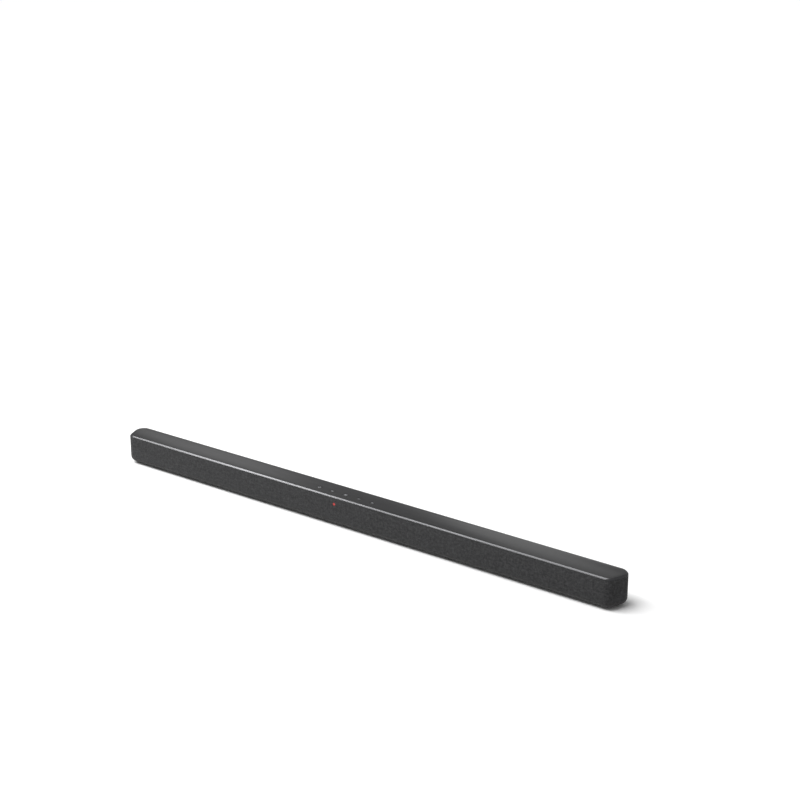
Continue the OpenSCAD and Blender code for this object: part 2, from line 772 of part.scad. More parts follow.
// The cone's racetrack rim is hulled down to its round neck
module cone_hull(rim_r, neck_r, z0, z1) {
    hull() {
        for (side = [-1, 1]) translate([side * cone_straight, 0, z1 - cone_rim_t])
            cylinder(r = rim_r, h = cone_rim_t, $fn = 32);
        translate([0, 0, z0]) cylinder(r = neck_r, h = 0.1, $fn = 32);
    }
}

module driver_cone() {
    color("#1e1e20") {
        difference() {
            cone_hull(cone_r, coil_r + neck_wall, -cone_depth, cone_rim_t);
            cone_hull(cone_r - cone_t, coil_r + bond_gap, -cone_depth - bond_gap, cone_rim_t + bond_gap);
        }
        dust_cap();
    }
}

// A shallow dome that sits on the end of the former
module dust_cap() {
    cap_sphere_r = (coil_r * coil_r + cap_h * cap_h) / (2 * cap_h);
    translate([0, 0, former_top]) difference() {
        intersection() {
            translate([0, 0, cap_h - cap_sphere_r]) sphere(r = cap_sphere_r);
            z_rod(0, 0, coil_r, 0, cap_h + through);
        }
        translate([0, 0, cap_h - cap_sphere_r]) sphere(r = cap_sphere_r - cap_t);
    }
}

module driver_voice_coil() {
    gap_mid = drum_rear - top_plate_t / 2;
    color("#b8733a") difference() {
        union() {
            z_rod(0, 0, coil_r, gap_mid - winding_h / 2 - former_tail, former_top);
            z_rod(0, 0, coil_r + winding_t, gap_mid - winding_h / 2, gap_mid + winding_h / 2);
        }
        z_rod(0, 0, coil_r - former_t, -40, 0);
    }
}

// Front plate, ring magnet, and the back plate with its pole
module driver_motor() {
    plate_rear = drum_rear - top_plate_t;
    magnet_rear = plate_rear - magnet_t;
    color(steel_colour) difference() {
        z_rod(0, 0, driver_half_height - 0.5, plate_rear, drum_rear);
        z_rod(0, 0, coil_r + winding_t + magnet_gap, -40, 0);
    }
    color("#3b3b3b") difference() {
        z_rod(0, 0, driver_half_height, magnet_rear, plate_rear);
        z_rod(0, 0, coil_r + 1.4, -40, 0);
    }
    color(steel_colour) union() {
        z_rod(0, 0, driver_half_height - 0.5, magnet_rear - yoke_t, magnet_rear);
        z_rod(0, 0, coil_r - former_t - magnet_gap, magnet_rear - overlap, drum_rear);
    }
}

module driver_piece(k, piece) {
    at_driver(k) {
        if (piece == "basket") driver_basket();
        if (piece == "suspension") driver_suspension();
        if (piece == "cone") driver_cone();
        if (piece == "voice_coil") driver_voice_coil();
        if (piece == "motor") driver_motor();
    }
}

// ---- Keys ----

module key(k) {
    color(cover_colour) {
        z_rod(key_x(k), key_row_y, key_r, cover_under_z - overlap, bar_height);
        z_rod(key_x(k), key_row_y, key_flange_r, cover_under_z - key_flange_t, cover_under_z);
        z_rod(key_x(k), key_row_y, key_stem_r, key_stem_z, cover_under_z - key_flange_t + overlap);
    }
}

module key_board() {
    color(board_colour) difference() {
        block([key_row_x - key_board_half_length, key_row_y - key_board_w / 2, key_board_z],
            [key_row_x + key_board_half_length, key_row_y + key_board_w / 2, key_board_top_z]);
        for (side = [-1, 1], y = [-1, 1])
            z_rod(key_row_x + side * key_post_x, key_row_y + y * key_post_y, small_screw_r + shank_gap,
                0, bar_height);
    }
}

module tact_switches() {
    color("#26262a") for (k = [0:key_count - 1]) difference() {
        block([key_x(k) - switch_size.x / 2, key_row_y - switch_size.y / 2, key_board_top_z],
            [key_x(k) + switch_size.x / 2, key_row_y + switch_size.y / 2, switch_top_z]);
        z_rod(key_x(k), key_row_y, key_stem_r + 0.3, switch_top_z - switch_well, switch_top_z + 1);
    }
}

// ---- Lamp and receiver ----

// The board hangs from the key board by its pin header
module display_board() {
    x = (lamp_x + receiver_x) / 2;
    color(board_colour) block([x - display_size.x / 2, display_front_y, display_z0],
        [x + display_size.x / 2, display_front_y + display_size.y, display_z0 + display_size.z]);
    color("#202022") block([x - header_length / 2, display_front_y, display_z0 + display_size.z - overlap],
        [x + header_length / 2, display_front_y + display_size.y, key_board_z]);
}

module lamp_lens() {
    color([0.85, 0.2, 0.18]) {
        y_rod(lamp_x, lamp_z, lamp_r, -bar_depth / 2 + fabric_t, baffle_rear_y + overlap);
        y_rod(lamp_x, lamp_z, lens_flange_r, baffle_rear_y, display_front_y);
    }
}

module remote_receiver() {
    color("#1a1416") {
        y_rod(receiver_x, lamp_z, receiver_r, baffle_front_y, baffle_rear_y + overlap);
        block([receiver_x - 3, baffle_rear_y, lamp_z - 3], [receiver_x + 3, display_front_y, lamp_z + 3]);
    }
}

// ---- Sockets ----

// The space that a socket's body takes, standing on the board with its mouth at the bay's floor
module socket_block(x, size, grow = 0) {
    block([x - size.x / 2 - grow, bay_floor_y - size.y, board_top_z - grow],
        [x + size.x / 2 + grow, bay_floor_y + (grow > 0 ? 1 : 0), board_top_z + size.z + grow]);
}

module io_bay() {
    x0 = bay_x - bay_length / 2;
    x1 = bay_x + bay_length / 2;
    color(moulding_colour) difference() {
        block([x0, bay_floor_y - bay_wall_t, bay_z0], [x1, bar_depth / 2, bay_z0 + bay_height]);
        block([x0 + bay_wall_t, bay_floor_y, bay_inner_z0], [x1 - bay_wall_t, bar_depth,
            bay_z0 + bay_height - bay_wall_t]);
        socket_block(hdmi_x, hdmi_size, gap);
        socket_block(optical_x, optical_size, gap);
        socket_block(jack_x, jack_size, gap);
        socket_block(usb_x, usb_size, gap);
    }
    color(moulding_colour) for (x = [x0 - bay_ear, x1 - overlap])
        block([x, rear_inner_y - bay_wall_t, bay_z0 + 2],
            [x + bay_ear + overlap, rear_inner_y, bay_z0 + bay_height - 2]);
}

// A folded metal shell with a tongue for the contacts
module shell_socket(x, size, tongue_z) {
    metal = 0.5;
    back_t = 1.5;
    tongue_inset = 1.8;
    depth = size.y - back_t;
    color(steel_colour) difference() {
        socket_block(x, size);
        block([x - size.x / 2 + metal, bay_floor_y - depth, board_top_z + metal],
            [x + size.x / 2 - metal, bay_floor_y + 1, board_top_z + size.z - metal]);
    }
    color("#202022") block([x - size.x / 2 + tongue_inset, bay_floor_y - depth, board_top_z + tongue_z],
        [x + size.x / 2 - tongue_inset, bay_floor_y - 1.2, board_top_z + tongue_z + 1]);
}

module hdmi_socket() {
    shell_socket(hdmi_x, hdmi_size, hdmi_size.z / 2 - 0.5);
}

module usb_socket() {
    shell_socket(usb_x, usb_size, usb_size.z / 2 + 0.6);
}

module optical_socket() {
    half = optical_cavity / 2;
    color("#202022") difference() {
        socket_block(optical_x, optical_size);
        block([optical_x - half.x, bay_floor_y - optical_cavity.y, optical_mid_z - half.z],
            [optical_x + half.x, bay_floor_y + 1, optical_mid_z + half.z]);
        translate([optical_x - half.x - 1, shutter_y, shutter_z]) rotate([0, 90, 0])
            cylinder(r = shutter_pin_r + shutter_gap, h = optical_cavity.x + 2);
    }
}

// A flap that hangs from its pin and swings inwards
module optical_shutter() {
    half = optical_cavity / 2;
    color("#101010") {
        translate([optical_x - half.x - shutter_pin_reach, shutter_y, shutter_z]) rotate([0, 90, 0])
            cylinder(r = shutter_pin_r, h = optical_cavity.x + 2 * shutter_pin_reach);
        block([optical_x - half.x + shutter_side_gap, shutter_y - shutter_t / 2,
            optical_mid_z - half.z + shutter_side_gap],
            [optical_x + half.x - shutter_side_gap, shutter_y + shutter_t / 2, shutter_z]);
    }
}

module aux_jack() {
    color("#202022") difference() {
        socket_block(jack_x, jack_size);
        y_rod(jack_x, board_top_z + jack_size.z / 2, jack_r, bay_floor_y - jack_size.y + 1,
            bay_floor_y + 1);
    }
}

module power_inlet() {
    low = [inlet_x - inlet_size.x / 2, bar_depth / 2 - inlet_size.y, inlet_z - inlet_size.z / 2];
    cavity_y = bar_depth / 2 - inlet_cavity;
    color("#202022") difference() {
        block(low, low + inlet_size);
        for (side = [-1, 1]) y_rod(inlet_x + side * inlet_pin_x, inlet_z, inlet_lobe_r, cavity_y,
            bar_depth);
        block([inlet_x - inlet_pin_x, cavity_y, inlet_z - inlet_web_h / 2],
            [inlet_x + inlet_pin_x, bar_depth, inlet_z + inlet_web_h / 2]);
        for (side = [-1, 1]) y_rod(inlet_x + side * inlet_pin_x, inlet_z, inlet_pin_r + pin_gap, 0,
            bar_depth);
    }
}

module inlet_pins() {
    cavity_y = bar_depth / 2 - inlet_cavity;
    color(steel_colour) for (side = [-1, 1])
        y_rod(inlet_x + side * inlet_pin_x, inlet_z, inlet_pin_r, bar_depth / 2 - inlet_size.y - 3,
            cavity_y + inlet_pin_l);
}

// ---- Boards and what stands on them ----

module board(x_range, rear_y) {
    color(board_colour) difference() {
        block([x_range[0], board_front_y, board_z], [x_range[1], rear_y, board_top_z]);
        board_posts(x_range, rear_y) z_rod(0, 0, small_screw_r + shank_gap, 0, bar_height);
    }
}

module main_board() {
    board(main_board_x, main_board_rear_y);
}

module power_board() {
    board(power_board_x, power_board_rear_y);
}

fin_count = 6;
fin_pitch = 4;
fin_t = 1.2;
fin_h = 8;
sink_depth = 9;
sink_base_t = 2;
sink_x = main_board_x[1] - 30;
chip_y = board_front_y + 6.5;
chip_size = [8, 6, 1.4];
chip_x = [sink_x + 5, sink_x + 16];

module amplifier_chips() {
    color("#17171a") for (x = chip_x) block([x - chip_size.x / 2, chip_y - chip_size.y / 2, board_top_z],
        [x + chip_size.x / 2, chip_y + chip_size.y / 2, board_top_z + chip_size.z]);
}

// The finned block lies on the chips, beside the sockets
module heat_sink() {
    z0 = board_top_z + chip_size.z;
    y0 = chip_y - sink_depth / 2;
    color(steel_colour) translate([sink_x, y0, z0]) {
        cube([fin_pitch * (fin_count - 1) + fin_t, sink_depth, sink_base_t]);
        for (i = [0:fin_count - 1]) translate([i * fin_pitch, 0, sink_base_t - overlap])
            cube([fin_t, sink_depth, fin_h]);
    }
}

module radio_module() {
    x = usb_x;
    color("#c2c4c6") block([x - 9, board_front_y + 1, board_top_z], [x + 9,
        bay_floor_y - usb_size.y - 0.4, board_top_z + 2.2]);
}

transformer_size = [16, 11.5, 13];
bobbin_t = 1;

// A wound core on its bobbin
module transformer() {
    translate([power_board_x[0] + 10, board_front_y + 1, board_top_z]) {
        color("#1d1d20") cube([transformer_size.x, transformer_size.y, bobbin_t]);
        color("#c9a63c") translate([1, 1, bobbin_t - overlap]) cube(transformer_size - [2, 2, 0]);
        color("#1d1d20") translate([0, 0, bobbin_t + transformer_size.z - 2 * overlap])
            cube([transformer_size.x, transformer_size.y, bobbin_t]);
    }
}

// Radius and height of the capacitors
tall_can = [5, 17];
small_can = [3.2, 11];

module capacitors() {
    color("#23232b") {
        for (i = [0:1]) z_rod(power_board_x[1] - 27 + 12 * i, board_front_y + 6, tall_can.x, board_top_z,
            board_top_z + tall_can.y);
        z_rod(power_board_x[1] - 13, power_board_rear_y - 6.5, small_can.x, board_top_z,
            board_top_z + small_can.y);
    }
}

// ---- Leads ----

// The two leads of one side run from the main board along the floor, through the bulkhead and
// up to the tabs of that side's loudspeakers
module speaker_leads(side) {
    start_x = side > 0 ? main_board_x[1] : -main_board_x[0];
    board_mid_z = board_z + board_t / 2;
    tab_rear_y = baffle_rear_y - drum_rear;
    for (i = [0, 1]) {
        lane_y = (2 * i - 1) * lead_lane;
        end_x = (i == 0 ? inner_driver_x : outer_driver_x) - driver_half_height - tab_reach + lead_r;
        z = lead_hole_z;
        route = [[start_x, lane_y, board_mid_z], [start_x + 3, lane_y, board_mid_z],
            [start_x + 15, lane_y, z], [bulkhead_x - 10, lane_y, z], [bulkhead_x + 10, lane_y, z],
            [end_x - 14, lane_y, z - 1], [end_x - 6, lane_y, z - 0.5], [end_x - 1.5, lane_y, z + 2],
            [end_x, lane_y, z + 6], [end_x, lane_y, driver_z - 5], [end_x, lane_y - 0.6, driver_z - 2],
            [end_x, lane_y - 2, driver_z - 0.4], [end_x, tab_rear_y + 1, driver_z], [end_x, tab_rear_y,
                driver_z]];
        color(i == 0 ? "#7a1f1f" : "#202020") lead([for (p = route) [side * p.x, p.y, p.z]], lead_r);
    }
}

ribbon_t = 0.4;
ribbon_w = 10;
supply_lead_r = 0.9;

// The supply pair between the two boards, and the ribbon from the key board to the main board
module board_leads() {
    z = board_z + board_t / 2;
    dip_z = z - 3.5;
    color("#8a8a8c") block([main_board_x[0] + 6, board_front_y + 0.6, board_top_z],
        [main_board_x[0] + 6 + ribbon_w, board_front_y + 0.6 + ribbon_t, key_board_z]);
    for (i = [0, 1]) {
        y = lead_lane + lead_r + 1.4 + 2.2 * i;
        route = [[power_board_x[1], y, z], [power_board_x[1] + 3, y, z], [power_board_x[1] + 16, y, dip_z],
            [main_board_x[0] - 16, y, dip_z], [main_board_x[0] - 3, y, z], [main_board_x[0], y, z]];
        color(i == 0 ? "#a33a2a" : "#1d1d1d") lead(route, supply_lead_r);
    }
}

// ---- Nodes ----

top_cover();
grille_fabric();
grille_frame();
cabinet();
baffle();
baffle_gasket();
io_bay();
hdmi_socket();
optical_socket();
optical_shutter();
aux_jack();
usb_socket();
power_inlet();
inlet_pins();
main_board();
heat_sink();
amplifier_chips();
radio_module();
power_board();
transformer();
capacitors();
key_board();
tact_switches();
display_board();
lamp_lens();
remote_receiver();
feet();
wall_inserts();
cover_screws();
baffle_screws();
driver_screws();
board_screws();
speaker_leads(-1);  // speaker_leads_left
speaker_leads(1);  // speaker_leads_right
board_leads();
for (k = [0:key_count - 1])
    key(k);
for (k = [0:DRIVER_COUNT - 1], p = DRIVER_PIECES)
    driver_piece(k, p);
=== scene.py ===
"""The looks of a slim fabric-wrapped soundbar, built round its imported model.

The classes hold their sizes in millimetres. A mesh becomes metres when its piece is placed.
"""

import logging
import math
from dataclasses import dataclass
from enum import Enum
from typing import Callable, ClassVar, Iterable

import bmesh
import bpy
from mathutils import Matrix, Vector


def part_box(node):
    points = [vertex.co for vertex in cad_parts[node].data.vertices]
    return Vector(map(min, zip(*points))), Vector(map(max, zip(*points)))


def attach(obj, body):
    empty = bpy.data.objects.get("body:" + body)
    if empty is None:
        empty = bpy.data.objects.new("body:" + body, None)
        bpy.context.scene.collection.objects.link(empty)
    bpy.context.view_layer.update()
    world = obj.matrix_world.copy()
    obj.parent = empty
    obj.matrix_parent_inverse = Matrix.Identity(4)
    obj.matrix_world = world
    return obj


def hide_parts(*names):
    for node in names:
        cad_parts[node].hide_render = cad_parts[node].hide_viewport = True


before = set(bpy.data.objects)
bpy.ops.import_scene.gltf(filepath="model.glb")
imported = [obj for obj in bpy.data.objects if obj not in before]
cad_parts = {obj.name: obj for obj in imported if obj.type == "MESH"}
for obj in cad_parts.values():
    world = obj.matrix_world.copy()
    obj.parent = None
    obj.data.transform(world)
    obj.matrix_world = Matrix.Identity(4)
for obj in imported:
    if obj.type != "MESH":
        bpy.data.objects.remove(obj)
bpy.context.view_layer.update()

MM = 0.001
LOG = logging.getLogger("soundbar")

Number = float | int
Colour = tuple[float, float, float]


# ---------------------------------------------------------------- shader building


class Value:
    """An output socket on which arithmetic adds Math nodes."""

    def __init__(self, board: "Board", socket: bpy.types.NodeSocket) -> None:
        """Keeps the board that the new nodes go on, and the socket."""
        self.board = board
        self.socket = socket

    def math(self, operation: str, *others: "Value | Number", clamp: bool = False) -> "Value":
        """Adds one Math node.

        Args:
            operation: The Math node's operation.
            others: What follows this value in the node's inputs.
            clamp: Whether the result stays between 0 and 1.

        Returns:
            The node's result.
        """
        settings = {"operation": operation, "use_clamp": clamp}
        return self.board.node("ShaderNodeMath", settings, dict(enumerate((self, *others))))

    def __add__(self, other: "Value | Number") -> "Value":
        """Adds."""
        return self.math("ADD", other)

    __radd__ = __add__

    def __sub__(self, other: "Value | Number") -> "Value":
        """Subtracts."""
        return self.math("SUBTRACT", other)

    def __rsub__(self, other: Number) -> "Value":
        """Subtracts this from a number."""
        return self.board.node("ShaderNodeMath", {"operation": "SUBTRACT"}, {0: other, 1: self})

    def __mul__(self, other: "Value | Number") -> "Value":
        """Multiplies."""
        return self.math("MULTIPLY", other)

    __rmul__ = __mul__

    def __truediv__(self, other: "Value | Number") -> "Value":
        """Divides."""
        return self.math("DIVIDE", other)

    def __pow__(self, other: "Value | Number") -> "Value":
        """Raises to a power."""
        return self.math("POWER", other)

    def fract(self) -> "Value":
        """The part after the decimal point."""
        return self.math("FRACT")

    def floor(self) -> "Value":
        """The whole number below."""
        return self.math("FLOOR")

    def sine(self) -> "Value":
        """The sine of an angle in radians."""
        return self.math("SINE")

    def size(self) -> "Value":
        """The value without its sign."""
        return self.math("ABSOLUTE")

    def larger(self, other: "Value | Number") -> "Value":
        """The larger of two values."""
        return self.math("MAXIMUM", other)

    def above(self, other: "Value | Number") -> "Value":
        """1 where this is larger than the other, and 0 elsewhere."""
        return self.math("GREATER_THAN", other)

    def smooth(self, low: float, high: float, start: float = 0.0, end: float = 1.0) -> "Value":
        """Runs smoothly from start to end while this goes from low to high."""
        settings = {"interpolation_type": "SMOOTHSTEP"}
        inputs = {"Value": self, "From Min": low, "From Max": high, "To Min": start, "To Max": end}
        return self.board.node("ShaderNodeMapRange", settings, inputs)


class Board:
    """The node board of one material."""

    def __init__(self, material: bpy.types.Material) -> None:
        """Clears the material's nodes."""
        material.use_nodes = True
        self.tree = material.node_tree
        self.tree.nodes.clear()

    def node(self, kind: str, settings: dict, inputs: dict, output: int | str = 0) -> Value | None:
        """Adds a node of any type.

        Args:
            kind: The node's Blender type.
            settings: Its properties, which are set before its sockets.
            inputs: Socket name or number to a link, a number or a tuple.
            output: The name or number of the output that is handed back.

        Returns:
            The chosen output, or None where the node has none.
        """
        made = self.tree.nodes.new(kind)
        for key, setting in settings.items():
            setattr(made, key, setting)
        for key, given in inputs.items():
            if isinstance(given, Value):
                self.tree.links.new(given.socket, made.inputs[key])
            else:
                made.inputs[key].default_value = given
        return Value(self, made.outputs[output]) if made.outputs else None

    def place(self) -> Value:
        """The place on the piece, in metres."""
        return self.node("ShaderNodeTexCoord", {}, {}, "Object")

    def axes(self, vector: Value) -> tuple[Value, Value, Value]:
        """Splits a vector into its three numbers."""
        split = self.node("ShaderNodeSeparateXYZ", {}, {0: vector}).socket.node
        return tuple(Value(self, split.outputs[i]) for i in range(3))

    def scaled(self, vector: Value, scale: tuple[float, float, float]) -> Value:
        """Stretches a vector along each axis."""
        return self.node("ShaderNodeMapping", {}, {"Vector": vector, "Scale": scale})

    def noise(self, vector: Value, scale: float, detail: float = 2.0, rough: float = 0.5) -> Value:
        """Soft noise between 0 and 1."""
        inputs = {"Vector": vector, "Scale": scale, "Detail": detail, "Roughness": rough}
        return self.node("ShaderNodeTexNoise", {}, inputs)

    def cells(self, vector: Value, scale: float, feature: str = "F1") -> Value:
        """The distance to the nearest point or edge of a cell pattern."""
        inputs = {"Vector": vector, "Scale": scale}
        return self.node("ShaderNodeTexVoronoi", {"feature": feature}, inputs, "Distance")

    def chance(self, x: Value, y: Value | Number = 0.0) -> Value:
        """One random number between 0 and 1 for each pair of whole numbers."""
        vector = self.node("ShaderNodeCombineXYZ", {}, {0: x, 1: y})
        return self.node("ShaderNodeTexWhiteNoise", {"noise_dimensions": "2D"}, {"Vector": vector}, "Value")

    def mix(self, share: Value | float, first: Value | Colour, second: Value | Colour) -> Value:
        """A colour between two, the second where share is 1."""
        ends = [c if isinstance(c, Value) else (*c, 1.0) for c in (first, second)]
        return self.node("ShaderNodeMix", {"data_type": "RGBA"}, {0: share, 6: ends[0], 7: ends[1]}, 2)

    def tones(self, share: "Value", tone: Colour, low: float, high: float) -> "Value":
        """Mixes a darker and a lighter shade of one tone.

        Args:
            share: How much of the lighter shade shows.
            tone: The tone.
            low: Brightness of the darker shade, as a share of the tone's.
            high: Brightness of the lighter shade.

        Returns:
            The colour.
        """
        return self.mix(share, tuple(c * low for c in tone), tuple(c * high for c in tone))

    def bump(self, height: Value, depth: float, strength: float = 1.0, under: Value | None = None) -> Value:
        """A normal from a height between 0 and 1 that stands for depth, in metres."""
        inputs = {"Height": height, "Distance": depth, "Strength": strength}
        if under is not None:
            inputs["Normal"] = under
        return self.node("ShaderNodeBump", {}, inputs)

    def close(self, surface: dict) -> None:
        """Ends the board with a Principled shader of these inputs."""
        shader = self.node("ShaderNodeBsdfPrincipled", {}, surface)
        self.node("ShaderNodeOutputMaterial", {}, {"Surface": shader})


@dataclass(frozen=True)
class Finish:
    """A surface finish. One material is made from it and shared."""

    name: str
    made: ClassVar[dict[str, bpy.types.Material]] = {}

    def surface(self, board: Board) -> dict:
        """The Principled shader's inputs."""
        raise NotImplementedError

    def material(self) -> bpy.types.Material:
        """The finish's material, made at its first use."""
        if self.name not in Finish.made:
            material = bpy.data.materials.new(self.name)
            board = Board(material)
            board.close(self.surface(board))
            Finish.made[self.name] = material
        return Finish.made[self.name]


@dataclass(frozen=True)
class Moulding(Finish):
    """Moulded plastic or rubber with a fine spark texture.

    Attributes:
        tone: The base colour.
        rough: The middle roughness.
        grain: Size of the texture's grains, in millimetres.
        depth: Depth of the texture, in millimetres.
        cloud: How much the tone wanders over the piece.
        shine: The specular level.
    """

    tone: Colour = (0.02, 0.02, 0.021)
    rough: float = 0.5
    grain: float = 0.35
    depth: float = 0.02
    cloud: float = 0.12
    shine: float = 0.5

    def surface(self, board: Board) -> dict:
        """Spark grains on a slightly clouded tone."""
        place = board.place()
        grain = board.noise(place, 1 / (self.grain * MM), 3.0, 0.6)
        cloud = board.noise(place, 38.0, 3.0)
        dark = tuple(c * (1 - self.cloud) for c in self.tone)
        light = tuple(c * (1 + self.cloud) for c in self.tone)
        return {
            "Base Color": board.mix(grain * 0.45 + cloud * 0.55, dark, light),
            "Roughness": cloud * 0.12 + grain * 0.1 + (self.rough - 0.11),
            "Specular IOR Level": self.shine,
            "Normal": board.bump(grain, self.depth * MM, 0.6),
        }


@dataclass(frozen=True)
class SatinCover(Finish):
    """The top's satin paint over a very fine texture.

    Attributes:
        tone: The base colour.
        rough: The middle roughness.
    """

    tone: Colour = (0.009, 0.009, 0.0099)
    rough: float = 0.3

    def surface(self, board: Board) -> dict:
        """A fine orange-peel grain with faint wiping marks along the bar."""
        place = board.place()
        grain = board.noise(place, 2600.0, 2.0)
        wipe = board.noise(board.scaled(place, (6.0, 90.0, 90.0)), 4.0, 4.0, 0.6)
        return {
            "Base Color": board.tones(grain * 0.6 + wipe * 0.4, self.tone, 0.9, 1.1),
            "Roughness": wipe * 0.06 + grain * 0.05 + (self.rough - 0.055),
            "Specular IOR Level": 0.5,
            "Normal": board.bump(grain, 0.006 * MM, 0.5),
        }


@dataclass(frozen=True)
class HighlightedChamfer(Finish):
    """The chamfer's paint, lighter than the top as a painted highlight where the edge catches the light."""

    # A tone several times lighter than the top's: painted highlight on the chamfer.
    tone: Colour = (0.052, 0.052, 0.055)
    rough: float = 0.22

    def surface(self, board: Board) -> dict:
        """Fine lines that run along the edge."""
        place = board.place()
        lines = board.noise(board.scaled(place, (20.0, 20.0, 2200.0)), 2.0, 2.0)
        return {
            "Base Color": board.tones(lines, self.tone, 0.85, 1.15),
            "Metallic": 0.45,
            "Roughness": lines * 0.08 + (self.rough - 0.04),
            "Normal": board.bump(lines, 0.004 * MM, 0.4),
        }


@dataclass(frozen=True)
class WovenCloth(Finish):
    """A close plain weave of dark melange yarn, through which the lamp glows.

    Attributes:
        pitch: Distance between two yarns, in millimetres.
        dark: Colour of the darkest fibres.
        light: Colour of the lightest fibres.
        run: How many crossings a yarn keeps one shade for.
        lamp: The lamp's place, in metres.
        glow_r: Radius of the glow, in millimetres.
    """

    pitch: float = 0.85
    dark: Colour = (0.012, 0.012, 0.0125)
    light: Colour = (0.055, 0.055, 0.057)
    run: int = 5
    lamp: tuple[float, float, float] = (0.0, 0.0, 0.0)
    glow_r: float = 3.0

    def surface(self, board: Board) -> dict:
        """Yarns that pass over and under each other, each with its own tone and fibres, darkened where they
        dip as painted shade.
        """
        u, v, _ = board.axes(board.node("ShaderNodeTexCoord", {}, {}, "UV"))
        place = board.place()
        wander = board.noise(place, 300.0, 2.0) * 0.3
        across = u / (self.pitch * MM) + wander
        along = v / (self.pitch * MM) + wander
        column, row = across.floor(), along.floor()
        over = ((column + row) / 2).fract().above(0.25)
        round_x, round_y = (across.fract() * math.pi).sine(), (along.fract() * math.pi).sine()
        warp = (round_x ** 0.6) * (0.45 + 0.55 * round_y)
        weft = (round_y ** 0.6) * (0.45 + 0.55 * round_x)
        height = warp * over + weft * (1 - over)
        fine, coarse = 7, 1.5
        warp_place = board.node("ShaderNodeCombineXYZ", {}, {0: across * fine, 1: along * coarse})
        fibre_x = board.noise(warp_place, 1.0, 3.0)
        weft_place = board.node("ShaderNodeCombineXYZ", {}, {0: across * coarse, 1: along * fine})
        fibre_y = board.noise(weft_place, 1.0, 3.0)
        fibre = fibre_x * over + fibre_y * (1 - over)
        warp_run = ((row + board.chance(column, 3.0) * self.run) / self.run).floor()
        weft_run = ((column + board.chance(row, 5.0) * self.run) / self.run).floor()
        shade = board.chance(column, warp_run) * over + board.chance(row + 91, weft_run) * (1 - over)
        patch = board.noise(place, 280.0, 3.0, 0.65)
        # Multiplying by the weave's height darkens the tone where the yarns dip: painted shade between the
        # yarns.
        tone = (shade * 0.55 + patch * 1.6 + fibre * 0.6 - 0.92) * (height * 0.7 + 0.3)
        x, y, z = board.axes(place)
        reach = ((x - self.lamp[0]) ** 2 + (z - self.lamp[2]) ** 2) ** 0.5
        front = (y * -1).above(-self.lamp[1] - 2 * MM)
        glow = reach.smooth(self.glow_r * MM, 0.2 * MM) * front * (1.25 - height * 0.75)
        return {
            "Base Color": board.mix(tone.smooth(0.0, 0.9), self.dark, self.light),
            "Roughness": fibre * 0.1 + 0.82,
            "Specular IOR Level": 0.25,
            "Sheen Weight": 0.12,
            "Sheen Roughness": 0.5,
            "Emission Color": board.mix(glow, (0.0, 0.0, 0.0), (0.8, 0.03, 0.022)),
            "Emission Strength": 1.1,
            "Normal": board.bump(height * 0.85 + fibre * 0.15, 0.28 * MM, 0.7),
        }


@dataclass(frozen=True)
class Metal(Finish):
    """Plated, turned or drawn metal.

    Attributes:
        tone: The base colour.
        rough: The middle roughness.
        stretch: How far the marks are drawn out along each axis.
    """

    tone: Colour = (0.6, 0.6, 0.6)
    rough: float = 0.3
    stretch: tuple[float, float, float] = (1.0, 1.0, 8.0)

    def surface(self, board: Board) -> dict:
        """Drawing marks and a slight tarnish."""
        place = board.place()
        marks = board.noise(board.scaled(place, self.stretch), 700.0, 3.0)
        tarnish = board.noise(place, 160.0, 3.0)
        return {
            "Base Color": board.mix(tarnish, tuple(c * 0.82 for c in self.tone), self.tone),
            "Metallic": 1.0,
            "Roughness": marks * 0.16 + tarnish * 0.1 + (self.rough - 0.13),
            "Normal": board.bump(marks, 0.008 * MM, 0.5),
        }


@dataclass(frozen=True)
class Print(Finish):
    """Pale printing ink."""

    tone: Colour = (0.42, 0.43, 0.45)

    def surface(self, board: Board) -> dict:
        """Ink with tiny gaps over the texture beneath."""
        grain = board.noise(board.place(), 3500.0, 2.0)
        return {
            "Base Color": board.mix(grain.smooth(0.25, 0.6), tuple(c * 0.7 for c in self.tone), self.tone),
            "Roughness": grain * 0.2 + 0.45,
            "Normal": board.bump(grain, 0.004 * MM, 0.4),
        }


@dataclass(frozen=True)
class SolderMask(Finish):
    """A circuit board: lacquer over copper tracks and a field of small vias.

    Attributes:
        lacquer: Colour over bare board.
        track: Colour over copper.
        pitch: Distance between two tracks, in millimetres.
    """

    lacquer: Colour = (0.006, 0.05, 0.022)
    track: Colour = (0.016, 0.105, 0.045)
    pitch: float = 1.27

    def surface(self, board: Board) -> dict:
        """Tracks run along the bar in some cells and across it in others."""
        place = board.place()
        x, y, _ = board.axes(place)
        step = self.pitch * MM
        cell = board.chance((x / (step * 7)).floor(), (y / (step * 4)).floor())
        turned = cell.above(0.5)
        across = y * turned + x * (1 - turned)
        line = ((across / step).fract() - 0.5).size()
        track = line.smooth(0.24, 0.2) * cell.smooth(0.15, 0.2)
        spot_x, spot_y = (x / step).fract() - 0.5, (y / step).fract() - 0.5
        hole = (spot_x ** 2 + spot_y ** 2) ** 0.5
        via = hole.smooth(0.2, 0.16) * board.chance((x / step).floor(), (y / step).floor()).above(0.86)
        plain = board.mix(track, self.lacquer, self.track)
        return {
            "Base Color": board.mix(via, plain, (0.55, 0.5, 0.36)),
            "Metallic": via * 0.8,
            "Roughness": track * 0.06 + board.noise(place, 900.0) * 0.1 + 0.24,
            "Normal": board.bump(track * 0.6 + via * 0.4, 0.035 * MM, 0.8),
        }


